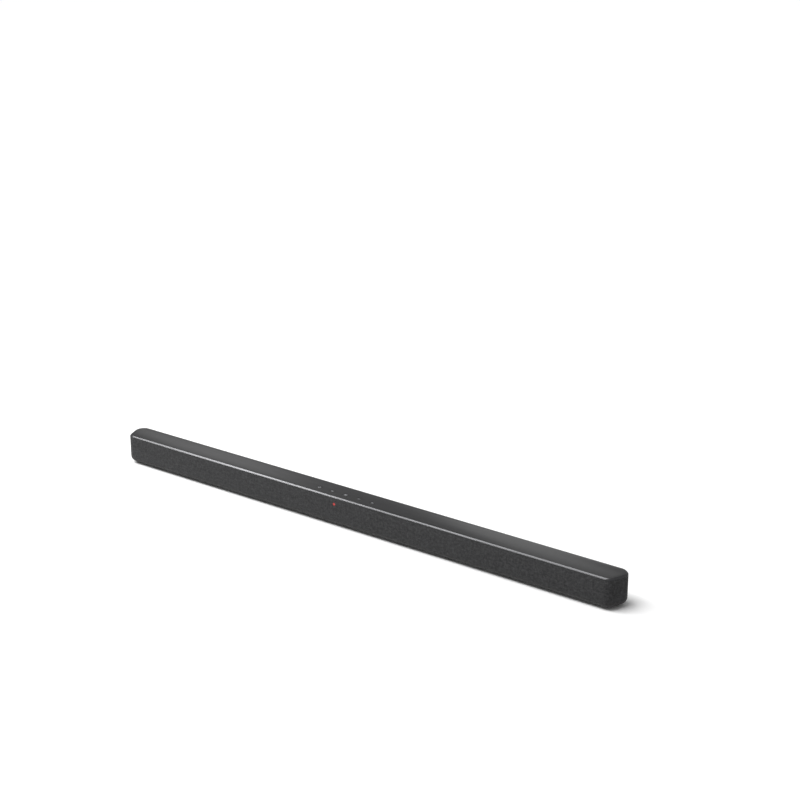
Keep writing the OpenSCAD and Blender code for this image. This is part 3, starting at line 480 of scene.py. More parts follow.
@dataclass(frozen=True)
class PressedPulp(Finish):
    """Dark paper pulp with matted fibres.

    Attributes:
        tone: The base colour.
    """

    tone: Colour = (0.018, 0.018, 0.019)

    def surface(self, board: Board) -> dict:
        """Two layers of drawn-out fibres."""
        place = board.place()
        first = board.noise(board.scaled(place, (1.0, 1.0, 5.0)), 900.0, 4.0, 0.7)
        second = board.noise(board.scaled(place, (5.0, 1.0, 1.0)), 900.0, 4.0, 0.7)
        fibre = first.larger(second)
        return {
            "Base Color": board.tones(fibre.smooth(0.35, 0.75), self.tone, 0.6, 2.0),
            "Roughness": fibre * 0.2 + 0.62,
            "Normal": board.bump(fibre, 0.05 * MM, 0.8),
        }


@dataclass(frozen=True)
class Tinted(Finish):
    """A tinted clear lens or a translucent sleeve.

    Attributes:
        tone: The tint.
        rough: The roughness.
        clear: How much light passes.
    """

    tone: Colour = (0.5, 0.012, 0.01)
    rough: float = 0.16
    clear: float = 0.5

    def surface(self, board: Board) -> dict:
        """A slightly milky tint with faint flow marks."""
        place = board.place()
        flow = board.noise(board.scaled(place, (1.0, 4.0, 1.0)), 260.0, 2.0)
        return {
            "Base Color": board.mix(flow, tuple(c * 0.75 for c in self.tone), self.tone),
            "Roughness": flow * 0.08 + self.rough - 0.04,
            "Transmission Weight": self.clear,
            "IOR": 1.49,
            "Coat Weight": 0.3,
            "Normal": board.bump(flow, 0.01 * MM, 0.3),
        }


@dataclass(frozen=True)
class OpenFoam(Finish):
    """Closed-cell foam.

    Attributes:
        tone: The base colour.
        cell: Size of a cell, in millimetres.
    """

    tone: Colour = (0.02, 0.02, 0.021)
    cell: float = 0.5

    def surface(self, board: Board) -> dict:
        """Cut cells with raised walls, with painted shade darkening the hollows."""
        place = board.place()
        cell = board.cells(place, 1 / (self.cell * MM))
        wall = cell.smooth(0.1, 0.6)
        return {
            # The cell hollows are painted darker and the raised walls lighter: painted shade in the hollows.
            "Base Color": board.tones(wall, self.tone, 0.5, 1.5),
            "Roughness": wall * 0.08 + 0.88,
            "Specular IOR Level": 0.2,
            "Normal": board.bump(wall, 0.2 * MM, 0.8),
        }


@dataclass(frozen=True)
class Wound(Finish):
    """Closely wound enamelled wire or tape, in turns along one axis.

    Attributes:
        tone: The base colour.
        axis: The axis that the turns follow one another along: 0, 1 or 2.
        pitch: Width of a turn, in millimetres.
        metal: The metallic level.
    """

    tone: Colour = (0.62, 0.23, 0.08)
    axis: int = 1
    pitch: float = 0.2
    metal: float = 0.9

    def surface(self, board: Board) -> dict:
        """Round turns, each with its own shade."""
        place = board.place()
        along = board.axes(place)[self.axis] / (self.pitch * MM)
        turn = (along.fract() * math.pi).sine()
        shade = board.chance(along.floor())
        grime = board.noise(place, 250.0, 3.0)
        return {
            "Base Color": board.mix(shade * 0.5 + grime * 0.5, tuple(c * 0.7 for c in self.tone), self.tone),
            "Metallic": self.metal,
            "Roughness": grime * 0.15 + 0.25,
            "Coat Weight": turn * 0.3,
            "Normal": board.bump(turn, 0.5 * self.pitch * MM, 0.9),
        }


# ---------------------------------------------------------------- mesh building


class Shape:
    """A mesh under construction, in millimetres."""

    def __init__(self) -> None:
        """Starts empty."""
        self.bm = bmesh.new()

    def box(self, low: Iterable[float], high: Iterable[float]) -> list[bmesh.types.BMVert]:
        """Adds a box between two corners and hands back its vertices."""
        low, high = Vector(low), Vector(high)
        matrix = Matrix.Translation((low + high) / 2) @ Matrix.Diagonal((*(high - low), 1.0))
        return bmesh.ops.create_cube(self.bm, size=1.0, matrix=matrix)["verts"]

    def edges(self, chosen: Callable[[bmesh.types.BMEdge], bool]) -> list[bmesh.types.BMEdge]:
        """The edges that a test chooses."""
        return [e for e in self.bm.edges if chosen(e)]

    def bevel(self, edges: list[bmesh.types.BMEdge], width: float, segments: int = 2) -> None:
        """Rounds edges."""
        bmesh.ops.bevel(self.bm, geom=edges, offset=width, offset_type="OFFSET", affect="EDGES",
                        segments=segments, profile=0.5, material=-1, clamp_overlap=False)

    def sharp(self, degrees: float = 35.0) -> list[bmesh.types.BMEdge]:
        """The edges whose faces meet at more than an angle."""
        return self.edges(lambda e: len(e.link_faces) == 2 and e.calc_face_angle() > math.radians(degrees))

    def soften(self, width: float, segments: int = 2, degrees: float = 35.0) -> "Shape":
        """Rounds every sharp edge and hands the shape back."""
        self.bevel(self.sharp(degrees), width, segments)
        return self

    def spin(self, profile: Iterable[tuple[float, float]], steps: int = 48, closed: bool = False,
             ) -> list[bmesh.types.BMVert]:
        """Turns a profile of (radius, height) points once round the Z axis.

        Args:
            profile: The points, from the axis round to the axis, or a loop.
            steps: The number of steps in the turn.
            closed: Whether the last point joins the first.

        Returns:
            The vertices that were made.
        """
        others = set(self.bm.verts)
        start = [self.bm.verts.new((r, 0.0, z)) for r, z in profile]
        pairs = list(zip(start, start[1:])) + ([(start[-1], start[0])] if closed else [])
        edges = [self.bm.edges.new(pair) for pair in pairs]
        bmesh.ops.spin(self.bm, geom=start + edges, cent=(0, 0, 0), axis=(0, 0, 1), angle=math.tau,
                       steps=steps, use_merge=True)
        bmesh.ops.remove_doubles(self.bm, verts=[v for v in self.bm.verts if v not in others], dist=0.0005)
        made = [v for v in self.bm.verts if v not in others]
        bmesh.ops.recalc_face_normals(self.bm, faces=list({f for v in made for f in v.link_faces}))
        return made

    def move(self, verts: list[bmesh.types.BMVert], matrix: Matrix) -> list[bmesh.types.BMVert]:
        """Moves and turns vertices, and hands them back."""
        bmesh.ops.transform(self.bm, matrix=matrix, verts=verts)
        return verts

    def repeat(self, source: "Shape", places: Iterable[Matrix]) -> "Shape":
        """Adds a copy of another shape at every place, frees it and hands this shape back."""
        mesh = bpy.data.meshes.new("copy")
        source.bm.to_mesh(mesh)
        source.bm.free()
        for place in places:
            others = set(self.bm.verts)
            self.bm.from_mesh(mesh)
            self.move([v for v in self.bm.verts if v not in others], place)
        bpy.data.meshes.remove(mesh)
        return self

    def push(self, faces: list[bmesh.types.BMFace], way: Iterable[float]) -> list[bmesh.types.BMVert]:
        """Extrudes faces along a vector and hands back the vertices that moved."""
        made = bmesh.ops.extrude_face_region(self.bm, geom=faces)["geom"]
        left = [f for f in faces if f.is_valid]
        if left:
            bmesh.ops.delete(self.bm, geom=left, context="FACES_ONLY")
        moved = [g for g in made if isinstance(g, bmesh.types.BMVert)]
        bmesh.ops.translate(self.bm, verts=moved, vec=Vector(way))
        return moved

    def facing(self, way: Iterable[float], verts: Iterable[bmesh.types.BMVert] | None = None,
               ) -> list[bmesh.types.BMFace]:
        """The flat faces that look one way, among those of the given vertices or of the whole shape."""
        self.bm.normal_update()
        faces = self.bm.faces if verts is None else {f for v in verts if v.is_valid for f in v.link_faces}
        return [f for f in faces if f.normal.dot(Vector(way)) > 0.999]

    def paint(self, verts: Iterable[bmesh.types.BMVert], finish: int) -> None:
        """Gives the faces of vertices a material number."""
        for face in {f for v in verts if v.is_valid for f in v.link_faces}:
            face.material_index = finish

    @classmethod
    def of_node(cls, node: str) -> "Shape":
        """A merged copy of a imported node, with its flat faces whole again."""
        shape = cls()
        shape.bm.from_mesh(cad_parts[node].data)
        bmesh.ops.scale(shape.bm, vec=(1 / MM,) * 3, verts=shape.bm.verts)
        bmesh.ops.remove_doubles(shape.bm, verts=shape.bm.verts, dist=0.002)
        bmesh.ops.dissolve_degenerate(shape.bm, edges=shape.bm.edges, dist=0.001)
        bmesh.ops.dissolve_limit(shape.bm, angle_limit=math.radians(0.4), verts=shape.bm.verts,
                                 edges=shape.bm.edges)
        return shape


def edges_of(verts: Iterable[bmesh.types.BMVert]) -> set[bmesh.types.BMEdge]:
    """The edges that meet at vertices."""
    return {edge for vert in verts for edge in vert.link_edges}


def place_piece(shape: Shape, name: str, body: str, finishes: list[Finish],
                replaces: Iterable[str] = (), smooth: float = 35.0) -> bpy.types.Object:
    """Makes an object of a shape and rides it on its body.

    Args:
        shape: The mesh, in millimetres, in the object's frame.
        name: The piece's name.
        body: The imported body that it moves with.
        finishes: Its finishes, in the order of the faces' material numbers.
        replaces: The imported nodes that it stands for.
        smooth: The angle up to which faces are shaded as one, in degrees.

    Returns:
        The object.
    """
    bmesh.ops.scale(shape.bm, vec=(MM,) * 3, verts=shape.bm.verts)
    mesh = bpy.data.meshes.new(name)
    shape.bm.to_mesh(mesh)
    shape.bm.free()
    mesh.shade_smooth()
    mesh.set_sharp_from_angle(angle=math.radians(smooth))
    for finish in finishes:
        mesh.materials.append(finish.material())
    piece = bpy.data.objects.new(name, mesh)
    bpy.context.scene.collection.objects.link(piece)
    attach(piece, body)
    if replaces:
        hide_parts(*replaces)
    LOG.info("%s: %d faces, rides on %s", name, len(mesh.polygons), body)
    return piece


# ---------------------------------------------------------------- finishes of this bar

COVER = SatinCover("satin_cover")
# The chamfer's lighter finish paints the highlight along the front edge.
CHAMFER_HIGHLIGHT = HighlightedChamfer("chamfer_highlight")
CABINET = Moulding("cabinet_plastic", tone=(0.02, 0.02, 0.0215), rough=0.52, grain=0.45, depth=0.03)
INNER = Moulding("inner_plastic", tone=(0.014, 0.014, 0.015), rough=0.58)
SOCKET = Moulding("socket_plastic", tone=(0.012, 0.012, 0.013), rough=0.38, grain=0.2, depth=0.01)
RUBBER = Moulding("foot_rubber", tone=(0.016, 0.016, 0.016), rough=0.85, grain=0.8, depth=0.05, shine=0.2)
STEEL = Metal("plated_steel", tone=(0.62, 0.62, 0.63))
DARK_STEEL = Metal("dark_screw_steel", tone=(0.16, 0.16, 0.17), rough=0.36)
BRASS = Metal("contact_brass", tone=(0.72, 0.52, 0.24), rough=0.28)
ALUMINIUM = Metal("extruded_aluminium", tone=(0.72, 0.73, 0.75), rough=0.38, stretch=(1.0, 14.0, 1.0))
FERRITE = Moulding("ferrite", tone=(0.03, 0.03, 0.032), rough=0.5, grain=0.25, depth=0.015)
INK = Print("key_print")
BOARD = SolderMask("solder_mask")
PULP = PressedPulp("pressed_pulp")
SURROUND = Moulding("surround_rubber", tone=(0.014, 0.014, 0.0145), rough=0.6, grain=0.5, depth=0.012,
                    shine=0.35)
FOAM = OpenFoam("gasket_foam")
COPPER = Wound("voice_coil_wire")
TAPE = Wound("winding_tape", tone=(0.7, 0.45, 0.05), axis=2, pitch=3.0, metal=0.0)
SLEEVE = Moulding("capacitor_sleeve", tone=(0.012, 0.013, 0.03), rough=0.3, grain=1.2, depth=0.01)
CHIP = Moulding("chip_plastic", tone=(0.013, 0.013, 0.014), rough=0.48, grain=0.15, depth=0.01)
LENS = Tinted("lamp_red")
DARK_LENS = Moulding("receiver_lens", tone=(0.008, 0.004, 0.006), rough=0.14, grain=1.0, depth=0.002)
RED_LEAD = Moulding("red_lead", tone=(0.22, 0.012, 0.01), rough=0.5, grain=0.5, depth=0.02)
BLACK_LEAD = Moulding("black_lead", tone=(0.015, 0.015, 0.015), rough=0.5, grain=0.5, depth=0.02)


# ---------------------------------------------------------------- the studio


@dataclass
class Studio:
    """Camera, floor and lights.

    Attributes:
        eye: The camera's place, in metres.
        tilt: The camera's turns about X and Z, in degrees.
        lens: Its focal length, in millimetres, on a 36 mm sensor.
    """

    eye: tuple[float, float, float] = (1.4477, -1.8212, 1.0312)
    tilt: tuple[float, float] = (70.22, 36.85)
    lens: float = 78.03

    def build(self) -> None:
        """Sets up the whole studio."""
        bpy.context.scene.view_settings.view_transform = "Standard"
        self.camera()
        self.floor()
        self.sky(0.34)
        self.overhead(2.6)
        self.softbox("key_light", (-1.6, -0.7, 1.5), (0.0, 0.0, 0.0), (0.7, 0.7), 16.0)
        self.softbox("edge_light_left", (-0.97, -0.47, 0.94), (-0.3, 0.0, 0.045), (0.34, 0.2), 0.8)
        self.softbox("edge_light_right", (-0.42, -0.47, 0.94), (0.2, 0.0, 0.045), (0.2, 0.16), 0.42)
        self.softbox("back_light_far", (-2.05, 1.82, 1.03), (-0.3, 0.0, 0.03), (0.55, 0.9), 1.0)
        self.softbox("back_light_near", (-0.72, 1.82, 1.03), (0.3, 0.0, 0.03), (0.5, 0.9), 1.35)

    def camera(self) -> None:
        """Sets the camera."""
        data = bpy.data.cameras.new("camera")
        data.lens = self.lens
        data.sensor_width = 36.0
        camera = bpy.data.objects.new("camera", data)
        camera.location = self.eye
        camera.rotation_euler = (math.radians(self.tilt[0]), 0.0, math.radians(self.tilt[1]))
        bpy.context.scene.collection.objects.link(camera)
        bpy.context.scene.camera = camera

    def floor(self) -> None:
        """Lays a plain pale floor."""
        bm = bmesh.new()
        bmesh.ops.create_grid(bm, x_segments=1, y_segments=1, size=30.0)
        mesh = bpy.data.meshes.new("floor")
        bm.to_mesh(mesh)
        bm.free()
        material = bpy.data.materials.new("floor_paper")
        board = Board(material)
        board.close({"Base Color": (0.93, 0.93, 0.93, 1.0), "Roughness": 0.9, "Specular IOR Level": 0.1})
        mesh.materials.append(material)
        floor = bpy.data.objects.new("floor", mesh)
        bpy.context.scene.collection.objects.link(floor)

    def sky(self, strength: float) -> None:
        """Surrounds the studio with even white light."""
        world = bpy.data.worlds.new("studio")
        world.use_nodes = True
        background = world.node_tree.nodes["Background"]
        background.inputs["Color"].default_value = (1.0, 1.0, 1.0, 1.0)
        background.inputs["Strength"].default_value = strength
        bpy.context.scene.world = world

    def overhead(self, strength: float) -> None:
        """Lights the whole floor evenly and softly from above."""
        data = bpy.data.lights.new("overhead", "SUN")
        data.energy = strength
        data.angle = math.radians(42.0)
        light = bpy.data.objects.new("overhead", data)
        light.rotation_euler = (math.radians(14.0), math.radians(-19.0), 0.0)
        bpy.context.scene.collection.objects.link(light)

    def softbox(self, name: str, at: tuple[float, float, float], aim: tuple[float, float, float],
                size: tuple[float, float], power: float) -> None:
        """Hangs one soft light.

        Args:
            name: Its name.
            at: Its place, in metres.
            aim: The point that it faces.
            size: Its width and height, in metres.
            power: Its power, in watts.
        """
        data = bpy.data.lights.new(name, "AREA")
        data.shape = "RECTANGLE"
        data.size, data.size_y = size
        data.energy = power
        light = bpy.data.objects.new(name, data)
        light.location = at
        light.rotation_euler = (Vector(aim) - Vector(at)).to_track_quat("-Z", "Y").to_euler()
        light.visible_camera = False
        bpy.context.scene.collection.objects.link(light)


# ---------------------------------------------------------------- the outside


@dataclass
class Outline:
    """The bar's outline from above, with slanted ends, and the round of its lower edge.

    Attributes:
        half_length: Half the bar's length.
        half_depth: Half its depth.
        front_r: Radius of the front corners.
        rear_r: Radius of the rear corners.
        slant: How far the ends lean away from square, in radians.
        edge_r: Radius of the lower edge.
    """

    half_length: float
    half_depth: float
    front_r: float = 15.0
    rear_r: float = 15.0
    slant: float = math.radians(20.0)
    edge_r: float = 9.0

    @property
    def rear_centre(self) -> tuple[float, float]:
        """The middle of the rear corner."""
        return self.half_length - self.rear_r, self.half_depth - self.rear_r

    @property
    def plane(self) -> float:
        """Distance of the slanted end from the origin."""
        x, y = self.rear_centre
        return x * math.cos(self.slant) - y * math.sin(self.slant) + self.rear_r

    @property
    def front_centre(self) -> tuple[float, float]:
        """The middle of the front corner."""
        y = self.front_r - self.half_depth
        return (self.plane - self.front_r + y * math.sin(self.slant)) / math.cos(self.slant), y

    def points(self) -> list[tuple[float, float]]:
        """The outline's points, anticlockwise from the front right corner."""
        right = []
        for (x, y), r, start, end, steps in (
                (self.front_centre, self.front_r, -math.pi / 2, -self.slant, 18),
                (self.rear_centre, self.rear_r, -self.slant, math.pi / 2, 26)):
            angles = [start + (end - start) * step / steps for step in range(steps + 1)]
            right += [(x + r * math.cos(angle), y + r * math.sin(angle)) for angle in angles]
        return right + [(-x, y) for x, y in reversed(right)]

    def block(self, shape: Shape, z0: float, z1: float) -> None:
        """Adds the outline as a block with round corners."""
        points = self.points()
        low = [shape.bm.verts.new((x, y, z0)) for x, y in points]
        high = [shape.bm.verts.new((x, y, z1)) for x, y in points]
        shape.bm.faces.new(high)
        shape.bm.faces.new(low[::-1])
        for k in range(len(points)):
            shape.bm.faces.new((low[k - 1], low[k], high[k], high[k - 1]))
        shape.bm.normal_update()

    def along(self, x: float, y: float) -> tuple[float, float]:
        """Where a point lies round the outline.

        Args:
            x: The point's place along the bar.
            y: The point's place from front to back.

        Returns:
            The way round the outline from the middle of the front, and the distance inside the outline.
        """
        side = math.copysign(1.0, x)
        x = abs(x)
        front_x, front_y = self.front_centre
        rear_x, rear_y = self.rear_centre
        sine, cosine = math.sin(self.slant), math.cos(self.slant)
        if x <= front_x and y <= 0:
            return side * x, y + self.half_depth
        way = x * sine + y * cosine
        front_way, rear_way = front_x * sine + front_y * cosine, rear_x * sine + rear_y * cosine
        corner = front_x + self.front_r * (math.pi / 2 - self.slant)
        if way < front_way:
            angle = math.atan2(x - front_x, front_y - y)
            inside = self.front_r - math.hypot(x - front_x, y - front_y)
            return side * (front_x + self.front_r * angle), inside
        if way <= rear_way:
            return side * (corner + way - front_way), self.plane - x * cosine + y * sine
        angle = math.atan2(y - rear_y, x - rear_x) + self.slant
        way = corner + rear_way - front_way + self.rear_r * angle
        return side * way, self.rear_r - math.hypot(x - rear_x, y - rear_y)


@dataclass
class ClothWrap:
    """The cloth that is stretched round the front, the ends and the lower edge.

    Attributes:
        outline: The bar's outline.
        lamp: The lamp's place, in metres.
        tuck: How far the cloth runs under the base.
        thickness: The cloth's thickness.
    """

    outline: Outline
    lamp: tuple[float, float, float]
    tuck: float = 3.0
    thickness: float = 0.6

    def build(self) -> bpy.types.Object:
        """Makes the cloth from a rounded block by opening its top, its back and its base."""
        low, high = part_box("grille_fabric")
        z0, z1 = low.z / MM, high.z / MM
        shape = Shape()
        self.outline.block(shape, z0, z1)
        bm = shape.bm
        rim = shape.edges(lambda e: max(v.co.z for v in e.verts) < z0 + 0.01
                          and any(f.normal.z > -0.5 for f in e.link_faces))
        shape.bevel(rim, self.outline.edge_r, 10)
        bm.normal_update()
        base = [f for f in bm.faces if f.normal.z < -0.999]
        bmesh.ops.inset_region(bm, faces=base, thickness=self.tuck, depth=0.0, use_even_offset=True)
        rear_x = self.outline.half_length - self.outline.rear_r
        rear_y = self.outline.half_depth - self.outline.rear_r
        bm.normal_update()

        def open_here(face: bmesh.types.BMFace) -> bool:
            """Whether a face lies over the top, the middle of the base or the back."""
            centre = face.calc_center_median()
            middle = face.normal.z < -0.999 and face.calc_area() > 1e4
            behind = centre.y > rear_y and abs(centre.x) < rear_x
            return face.normal.z > 0.999 or middle or behind

        bmesh.ops.delete(bm, geom=[f for f in bm.faces if open_here(f)], context="FACES")
        self.unwrap(bm, z0)
        cloth = WovenCloth("woven_cloth", lamp=self.lamp)
        piece = place_piece(shape, "cloth_wrap", "bar", [cloth], ["grille_fabric"], 180.0)
        solid = piece.modifiers.new("thickness", "SOLIDIFY")
        solid.thickness = self.thickness * MM
        solid.offset = -1.0
        self.flat(z1 - z0)
        return piece

    def unwrap(self, bm: bmesh.types.BMesh, z0: float) -> None:
        """Lays the cloth flat in its UV map, in metres, along the outline and up the side."""
        uv = bm.loops.layers.uv.new("cloth")
        r = self.outline.edge_r
        for face in bm.faces:
            for loop in face.loops:
                x, y, z = loop.vert.co
                way, inside = self.outline.along(x, y)
                if z >= z0 + r:
                    up = z - z0 - r
                elif inside < r:
                    up = -r * math.atan2(z0 + r - z, r - inside)
                else:
                    up = -r * math.pi / 2 - (inside - r)
                loop[uv].uv = (way * MM, up * MM)

    def flat(self, height: float) -> tuple[float, float]:
        """The length and width of the strip that the cloth was cut from, in metres."""
        outline = self.outline
        end = outline.along(outline.half_length - outline.rear_r, outline.half_depth)[0]
        width = height - outline.edge_r + outline.edge_r * math.pi / 2 + self.tuck
        return 2 * end * MM, width * MM


@dataclass
class TopShell:
    """The top cover, with its chamfer painted lighter as a highlight.

    Attributes:
        round_r: Width of the rounded edges.
        chamfer: Size of the chamfer.
    """

    round_r: float = 0.18
    chamfer: float = 2.2

    def build(self) -> bpy.types.Object:
        """Makes the cover and gives its chamfer the lighter finish, a painted highlight."""
        shape = Shape.of_node("top_cover")
        shape.soften(self.round_r, 2, 30.0)
        shape.bm.normal_update()
        foot = box_mm("top_cover")[1].z - self.chamfer
        for face in shape.bm.faces:
            # The chamfer faces get the lighter finish, a painted highlight.
            if 0.5 < face.normal.z < 0.85 and face.calc_center_median().z > foot:
                face.material_index = 1
        return place_piece(shape, "top_shell", "bar", [COVER, CHAMFER_HIGHLIGHT], ["top_cover"], 20.0)


def box_mm(node: str) -> tuple[Vector, Vector]:
    """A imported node's lowest and highest corners, in millimetres."""
    low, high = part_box(node)
    return low / MM, high / MM


@dataclass
class Softened:
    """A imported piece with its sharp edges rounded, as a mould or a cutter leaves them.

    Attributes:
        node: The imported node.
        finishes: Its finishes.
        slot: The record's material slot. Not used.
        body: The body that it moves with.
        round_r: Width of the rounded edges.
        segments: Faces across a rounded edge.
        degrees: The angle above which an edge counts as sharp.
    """

    node: str
    finishes: list[Finish]
    slot: str
    body: str = "bar"
    round_r: float = 0.15
    segments: int = 2
    degrees: float = 35.0

    def build(self, dress: Callable[[Shape], None] | None = None) -> bpy.types.Object:
        """Makes the piece.

        Args:
            dress: Work on the rounded shape, such as giving faces another finish.

        Returns:
            The piece.
        """
        shape = Shape.of_node(self.node).soften(self.round_r, self.segments, self.degrees)
        if dress:
            dress(shape)
        name = self.node + "_shell"
        return place_piece(shape, name, self.body, self.finishes, [self.node], 30.0)


# ---------------------------------------------------------------- keys


class Mark(Enum):
    """What is printed on a key."""

    POWER = "power"
    SOURCE = "source"
    PAIRING = "pairing"
    VOLUME_DOWN = "volume_down"
    VOLUME_UP = "volume_up"


@dataclass
class PushKey:
    """A push key with a slightly dished cap and a printed mark.

    Attributes:
        mark: What is printed on it.
        edge_r: Radius of the cap's edge.
        dish: Depth of the cap's hollow.
        flange_t: Thickness of the flange under the cover.
        stem_r: Radius of the stem.
        stroke: Width of the mark's lines.
        ink_t: Thickness of the ink and what it sinks into.
    """

    mark: Mark
    edge_r: float = 0.25
    dish: float = 0.09
    flange_t: float = 0.8
    stem_r: float = 1.5
    stroke: float = 0.55
    ink_t: float = 0.06

    @property
    def node(self) -> str:
        """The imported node."""
        return "key_" + self.mark.value

    @property
    def body(self) -> str:
        """The body that the key is."""
        return self.mark.value + "_key"

    def build(self) -> None:
        """Makes the cap and its mark."""
        low, high = box_mm(self.node)
        centre = (low + high) / 2
        top, flange_r = high.z, (high.x - low.x) / 2
        key_r, under = flange_r - 0.9, top - 2.2
        cap = Shape()
        arc = [(key_r - self.edge_r * (1 - math.sin(a)), top - self.edge_r * (1 - math.cos(a)))
               for a in (math.pi / 2, math.pi / 3, math.pi / 6, 0.0)]
        dish = [(key_r * f, top - self.dish * (1 - f * f)) for f in (0.85, 0.7, 0.5, 0.25, 0.0)]
        stem_top = under - self.flange_t
        stem = [(0.0, low.z), (self.stem_r - 0.2, low.z), (self.stem_r, low.z + 0.3), (self.stem_r, stem_top)]
        flange = [(flange_r, stem_top), (flange_r, under), (key_r, under)]
        cap.spin(stem + flange + arc + dish, 64)
        cap.move(list(cap.bm.verts), Matrix.Translation((centre.x, centre.y, 0.0)))
        place_piece(cap, self.node + "_cap", self.body, [COVER], [self.node])
        ink = Shape()
        self.draw(ink)
        ink.move(list(ink.bm.verts), Matrix.Translation((centre.x, centre.y, top - self.dish)))
        place_piece(ink, self.node + "_mark", self.body, [INK])

    def draw(self, ink: Shape) -> None:
        """Draws the mark round the origin."""
        match self.mark:
            case Mark.POWER:
                self.arc(ink, 1.9, 55.0, 305.0)
                self.bar(ink, (0.0, 1.3), (self.stroke, 1.9))
            case Mark.SOURCE:
                self.bar(ink, (0.7, 0.0), (self.stroke, 3.9))
                self.bar(ink, (-1.2, 0.0), (2.4, self.stroke))
                self.bar(ink, (-0.75, 0.5), (1.5, self.stroke), -45.0)
                self.bar(ink, (-0.75, -0.5), (1.5, self.stroke), 45.0)
            case Mark.PAIRING:
                self.arc(ink, 1.25, 0.0, 360.0, (-0.8, 0.0))
                self.arc(ink, 1.25, 0.0, 360.0, (0.8, 0.0))
            case Mark.VOLUME_DOWN:
                self.bar(ink, (0.0, 0.0), (3.8, self.stroke))
            case Mark.VOLUME_UP:
                self.bar(ink, (0.0, 0.0), (3.8, self.stroke))
                self.bar(ink, (0.0, 0.0), (self.stroke, 3.8))

    def bar(self, ink: Shape, at: tuple[float, float], size: tuple[float, float], turn: float = 0.0) -> None:
        """Draws a straight stroke.

        Args:
            ink: The mark.
            at: Its middle.
            size: Its size along X and Y.
            turn: How far it is turned, in degrees.
        """
        half = Vector((size[0] / 2, size[1] / 2, 0.0))
        verts = ink.box(-half, half + Vector((0.0, 0.0, self.ink_t)))
        upright = [e for e in edges_of(verts) if abs(e.verts[0].co.z - e.verts[1].co.z) > 0.01]
        rounded = bmesh.ops.bevel(ink.bm, geom=upright, offset=self.stroke * 0.35, affect="EDGES",
                                  segments=3, profile=0.5, material=-1)["verts"]
        ends = {v for v in rounded if v.is_valid} | {v for v in verts if v.is_valid}
        ink.move(list(ends), Matrix.Translation((*at, 0.0)) @ Matrix.Rotation(math.radians(turn), 4, "Z"))

    def arc(self, ink: Shape, r: float, start: float, end: float,
            at: tuple[float, float] = (0.0, 0.0)) -> None:
        """Draws a round stroke.

        Args:
            ink: The mark.
            r: Radius of its middle line.
            start: Where it starts, in degrees from the back, turning left.
            end: Where it ends.
            at: Its centre.
        """
        others = set(ink.bm.verts)
        inner, outer = r - self.stroke / 2, r + self.stroke / 2
        profile = [(inner, 0.0), (outer, 0.0), (outer, self.ink_t), (inner, self.ink_t)]
        corners = [ink.bm.verts.new((x, 0.0, z)) for x, z in profile]
        whole = end - start >= 360.0
        if whole:
            start_geom = corners + [ink.bm.edges.new(p) for p in zip(corners, corners[1:] + corners[:1])]
        else:
            start_geom = [ink.bm.faces.new(corners)]
        bmesh.ops.spin(ink.bm, geom=start_geom, cent=(0, 0, 0), axis=(0, 0, 1),
                       angle=math.radians(end - start), steps=40, use_merge=whole)
        made = [v for v in ink.bm.verts if v not in others]
        bmesh.ops.recalc_face_normals(ink.bm, faces=list({f for v in made for f in v.link_faces}))
        ink.move(made, Matrix.Translation((*at, 0.0)) @ Matrix.Rotation(math.radians(start + 90.0), 4, "Z"))


# ---------------------------------------------------------------- base and back


@dataclass
class RubberFeet:
    """The four feet, each a rounded pad with a ribbed tread.

    Attributes:
        size: Length and width of a foot.
        corner_r: Radius of its corners.
        rib_count: Ribs in the tread.
        tread: Depth of the tread.
        rim: Width of the tread's rim.
        inner_x: Distance of the two inner feet from the middle.
    """

    size: tuple[float, float] = (26.0, 18.0)
    corner_r: float = 4.0
    rib_count: int = 6
    tread: float = 0.5
    rim: float = 1.6
    inner_x: float = 90.0

    def pad(self, height: float) -> Shape:
        """Makes one foot round the Z axis, standing on the table."""
        shape = Shape()
        half_x, half_y = self.size[0] / 2, self.size[1] / 2
        shape.box((-half_x, -half_y, 0.0), (half_x, half_y, height))
        upright = shape.edges(lambda e: abs(e.verts[0].co.z - e.verts[1].co.z) > height / 2)
        shape.bevel(upright, self.corner_r, 8)
        shape.soften(0.35, 3, 60.0)
        sole = max(shape.facing((0, 0, -1)), key=lambda f: f.calc_area())
        bmesh.ops.inset_region(shape.bm, faces=[sole], thickness=self.rim, depth=0.0, use_even_offset=True)
        sole = max(shape.facing((0, 0, -1)), key=lambda f: f.calc_area())
        shape.push([sole], (0.0, 0.0, self.tread))
        width = self.size[0] - 2 * self.rim
        half_rib, rib_y = 0.8, half_y - self.rim - 0.6
        for k in range(self.rib_count):
            x = (k + 0.5 - self.rib_count / 2) * width / self.rib_count
            rib = shape.box((x - half_rib, -rib_y, 0.1), (x + half_rib, rib_y, self.tread + 0.3))
            shape.bevel([e for e in edges_of(rib) if max(v.co.z for v in e.verts) < 0.2], 0.25, 2)
        return shape

    def build(self) -> bpy.types.Object:
        """Makes the four feet."""
        low, high = box_mm("feet")
        reach, y = high.x - self.size[0] / 2, (low.y + high.y) / 2
        places = [Matrix.Translation((x, y, 0.0)) for x in (-reach, -self.inner_x, self.inner_x, reach)]
        shape = Shape().repeat(self.pad(high.z), places)
        return place_piece(shape, "rubber_feet", "bar", [RUBBER], ["feet"])


